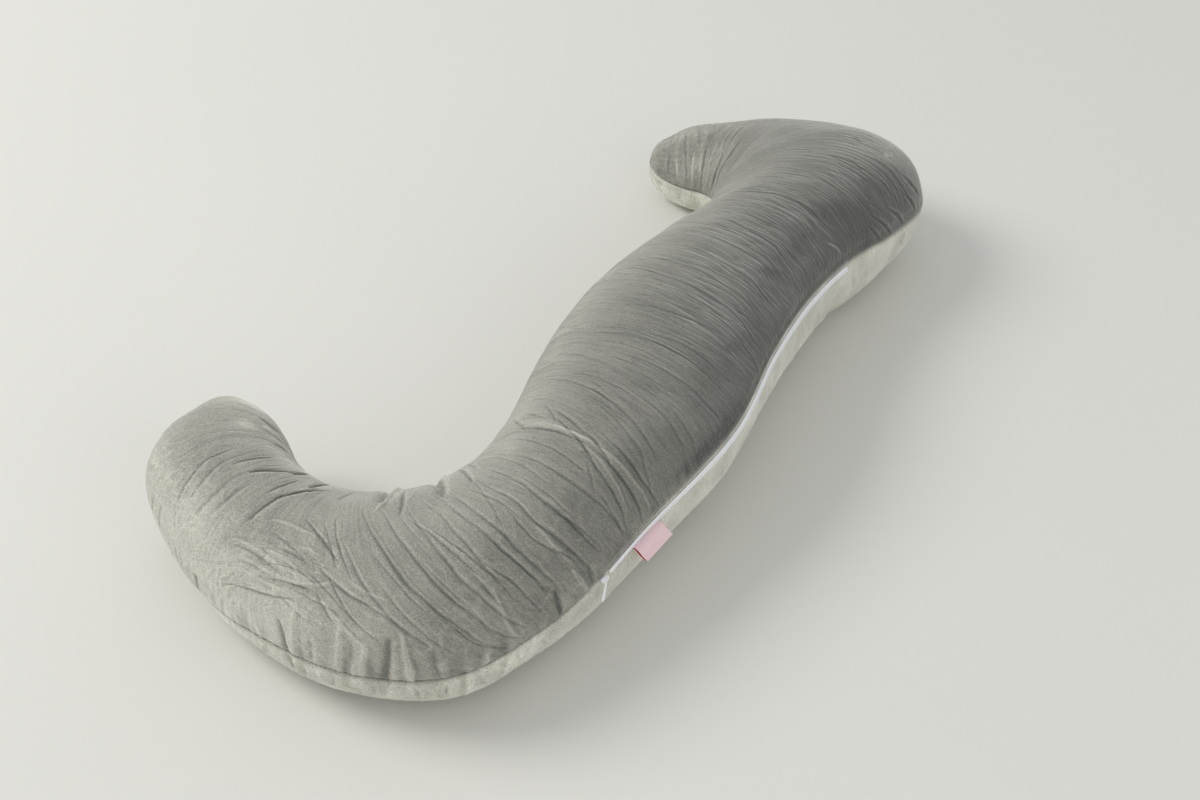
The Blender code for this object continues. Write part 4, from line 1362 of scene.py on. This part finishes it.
label_mesh = label.data
cut_map = label_mesh.uv_layers.new(name="cut")
loop_verts = np.empty(len(label_mesh.loops), np.int32)
label_mesh.loops.foreach_get("vertex_index", loop_verts)
cut_u = loop_verts // path_count * LABEL_WIDTH / LABEL_COLUMNS
loop_uv = np.stack([cut_u, loop_verts % path_count * stride], axis=1)
cut_map.data.foreach_set("uv", loop_uv.astype(np.float32).ravel())
wall = label.modifiers.new("Woven sheet", "SOLIDIFY")
wall.thickness = LABEL_SHEET
wall.offset = 0
wall.material_offset = 1
wall.material_offset_rim = 1

for name, colour in (("Label weave", LABEL_COLOUR), ("Label reverse", LABEL_BACK)):
    weave, tree, shader, place = new_material(name, 0.62)
    cut_place = node(tree, "ShaderNodeUVMap", uv_map="cut").outputs["UV"]
    ribs = node(tree, "ShaderNodeTexWave", Distortion=0.6, Detail=1.0)
    ribs.wave_type, ribs.bands_direction = "BANDS", "Y"
    ribs.inputs["Scale"].default_value = RIB_SCALE
    tree.links.new(cut_place, ribs.inputs["Vector"])
    dye = use_group(
        tree, uneven_dye, place, Blotch_Scale=70.0, Fleck_Scale=1500.0, Blotches=0.14, Flecks=0.3
    )
    ribbed = ramp(tree, ribs.outputs["Fac"], 0.0, 1.0, 0.90, 1.03)
    colour_it(tree, shader, colour, sums(tree, "MULTIPLY", ribbed, dye.outputs["Shade"]))
    raise_it(tree, shader, ribs.outputs["Fac"], 0.5, RIB_RELIEF)
    shader.inputs["Sheen Weight"].default_value = 0.2
    label.data.materials.append(weave)
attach(label, "root")
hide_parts("side_label")


# ---- Studio ------------------------------------------------------------------------
# A plain pale floor, one large soft light high on the left and slightly behind, and an
# even fill. The camera looks down along the pillow.

FLOOR_COLOUR = (0.715, 0.711, 0.670)
FLOOR_REACH = 14.0
corners = [(-1, -1, 0), (1, -1, 0), (1, 1, 0), (-1, 1, 0)]
floor = new_object("floor", np.array(corners) * FLOOR_REACH, [(0, 1, 2, 3)])
paper, tree, shader, place = new_material("Pale floor", 0.9)
dye_it(tree, shader, place, FLOOR_COLOUR, 1.6, 60.0, 0.03, 0.015)
shader.inputs["Specular IOR Level"].default_value = 0.2
floor.data.materials.append(paper)


def aim(item, target):
    """Turns a light or camera so that its own -Z points at the target."""
    direction = np.subtract(target, item.location)
    item.rotation_euler = Vector(direction).to_track_quat("-Z", "Y").to_euler()


def soft_light(name, location, size, power, colour):
    """A round lamp of this width and power, turned to the middle of the pillow."""
    data = bpy.data.lights.new(name, "AREA")
    data.shape = "DISK"
    data.size = size
    data.energy = power
    data.color = colour
    light = bpy.data.objects.new(name, data)
    bpy.context.scene.collection.objects.link(light)
    light.location = location
    aim(light, (0, 0, 0.1))
    return light


KEY_POWER, FILL_POWER, SKY_STRENGTH = 165, 26, 0.64
soft_light("key", (-4.1, 0.7, 4.1), 3.0, KEY_POWER, (1.0, 0.995, 0.97))
soft_light("front fill", (2.6, -3.6, 2.6), 3.5, FILL_POWER, (1.0, 1.0, 1.0))
world = bpy.data.worlds.new("Studio")
bpy.context.scene.world = world
world.use_nodes = True
sky = world.node_tree.nodes["Background"]
sky.inputs["Color"].default_value = (0.98, 0.99, 1.0, 1.0)
sky.inputs["Strength"].default_value = SKY_STRENGTH

CAMERA_TARGET = (0.037, 0.0035, 0.0)
CAMERA_DISTANCE = 2.31
CAMERA_ELEVATION = np.radians(43)
camera_data = bpy.data.cameras.new("camera")
camera_data.lens = 50
camera_data.sensor_width = 36
camera = bpy.data.objects.new("camera", camera_data)
bpy.context.scene.collection.objects.link(camera)
camera.location = (
    CAMERA_TARGET[0],
    CAMERA_TARGET[1] - CAMERA_DISTANCE * np.cos(CAMERA_ELEVATION),
    CAMERA_TARGET[2] + CAMERA_DISTANCE * np.sin(CAMERA_ELEVATION),
)
aim(camera, CAMERA_TARGET)
bpy.context.scene.camera = camera
bpy.context.scene.view_settings.view_transform = "Standard"
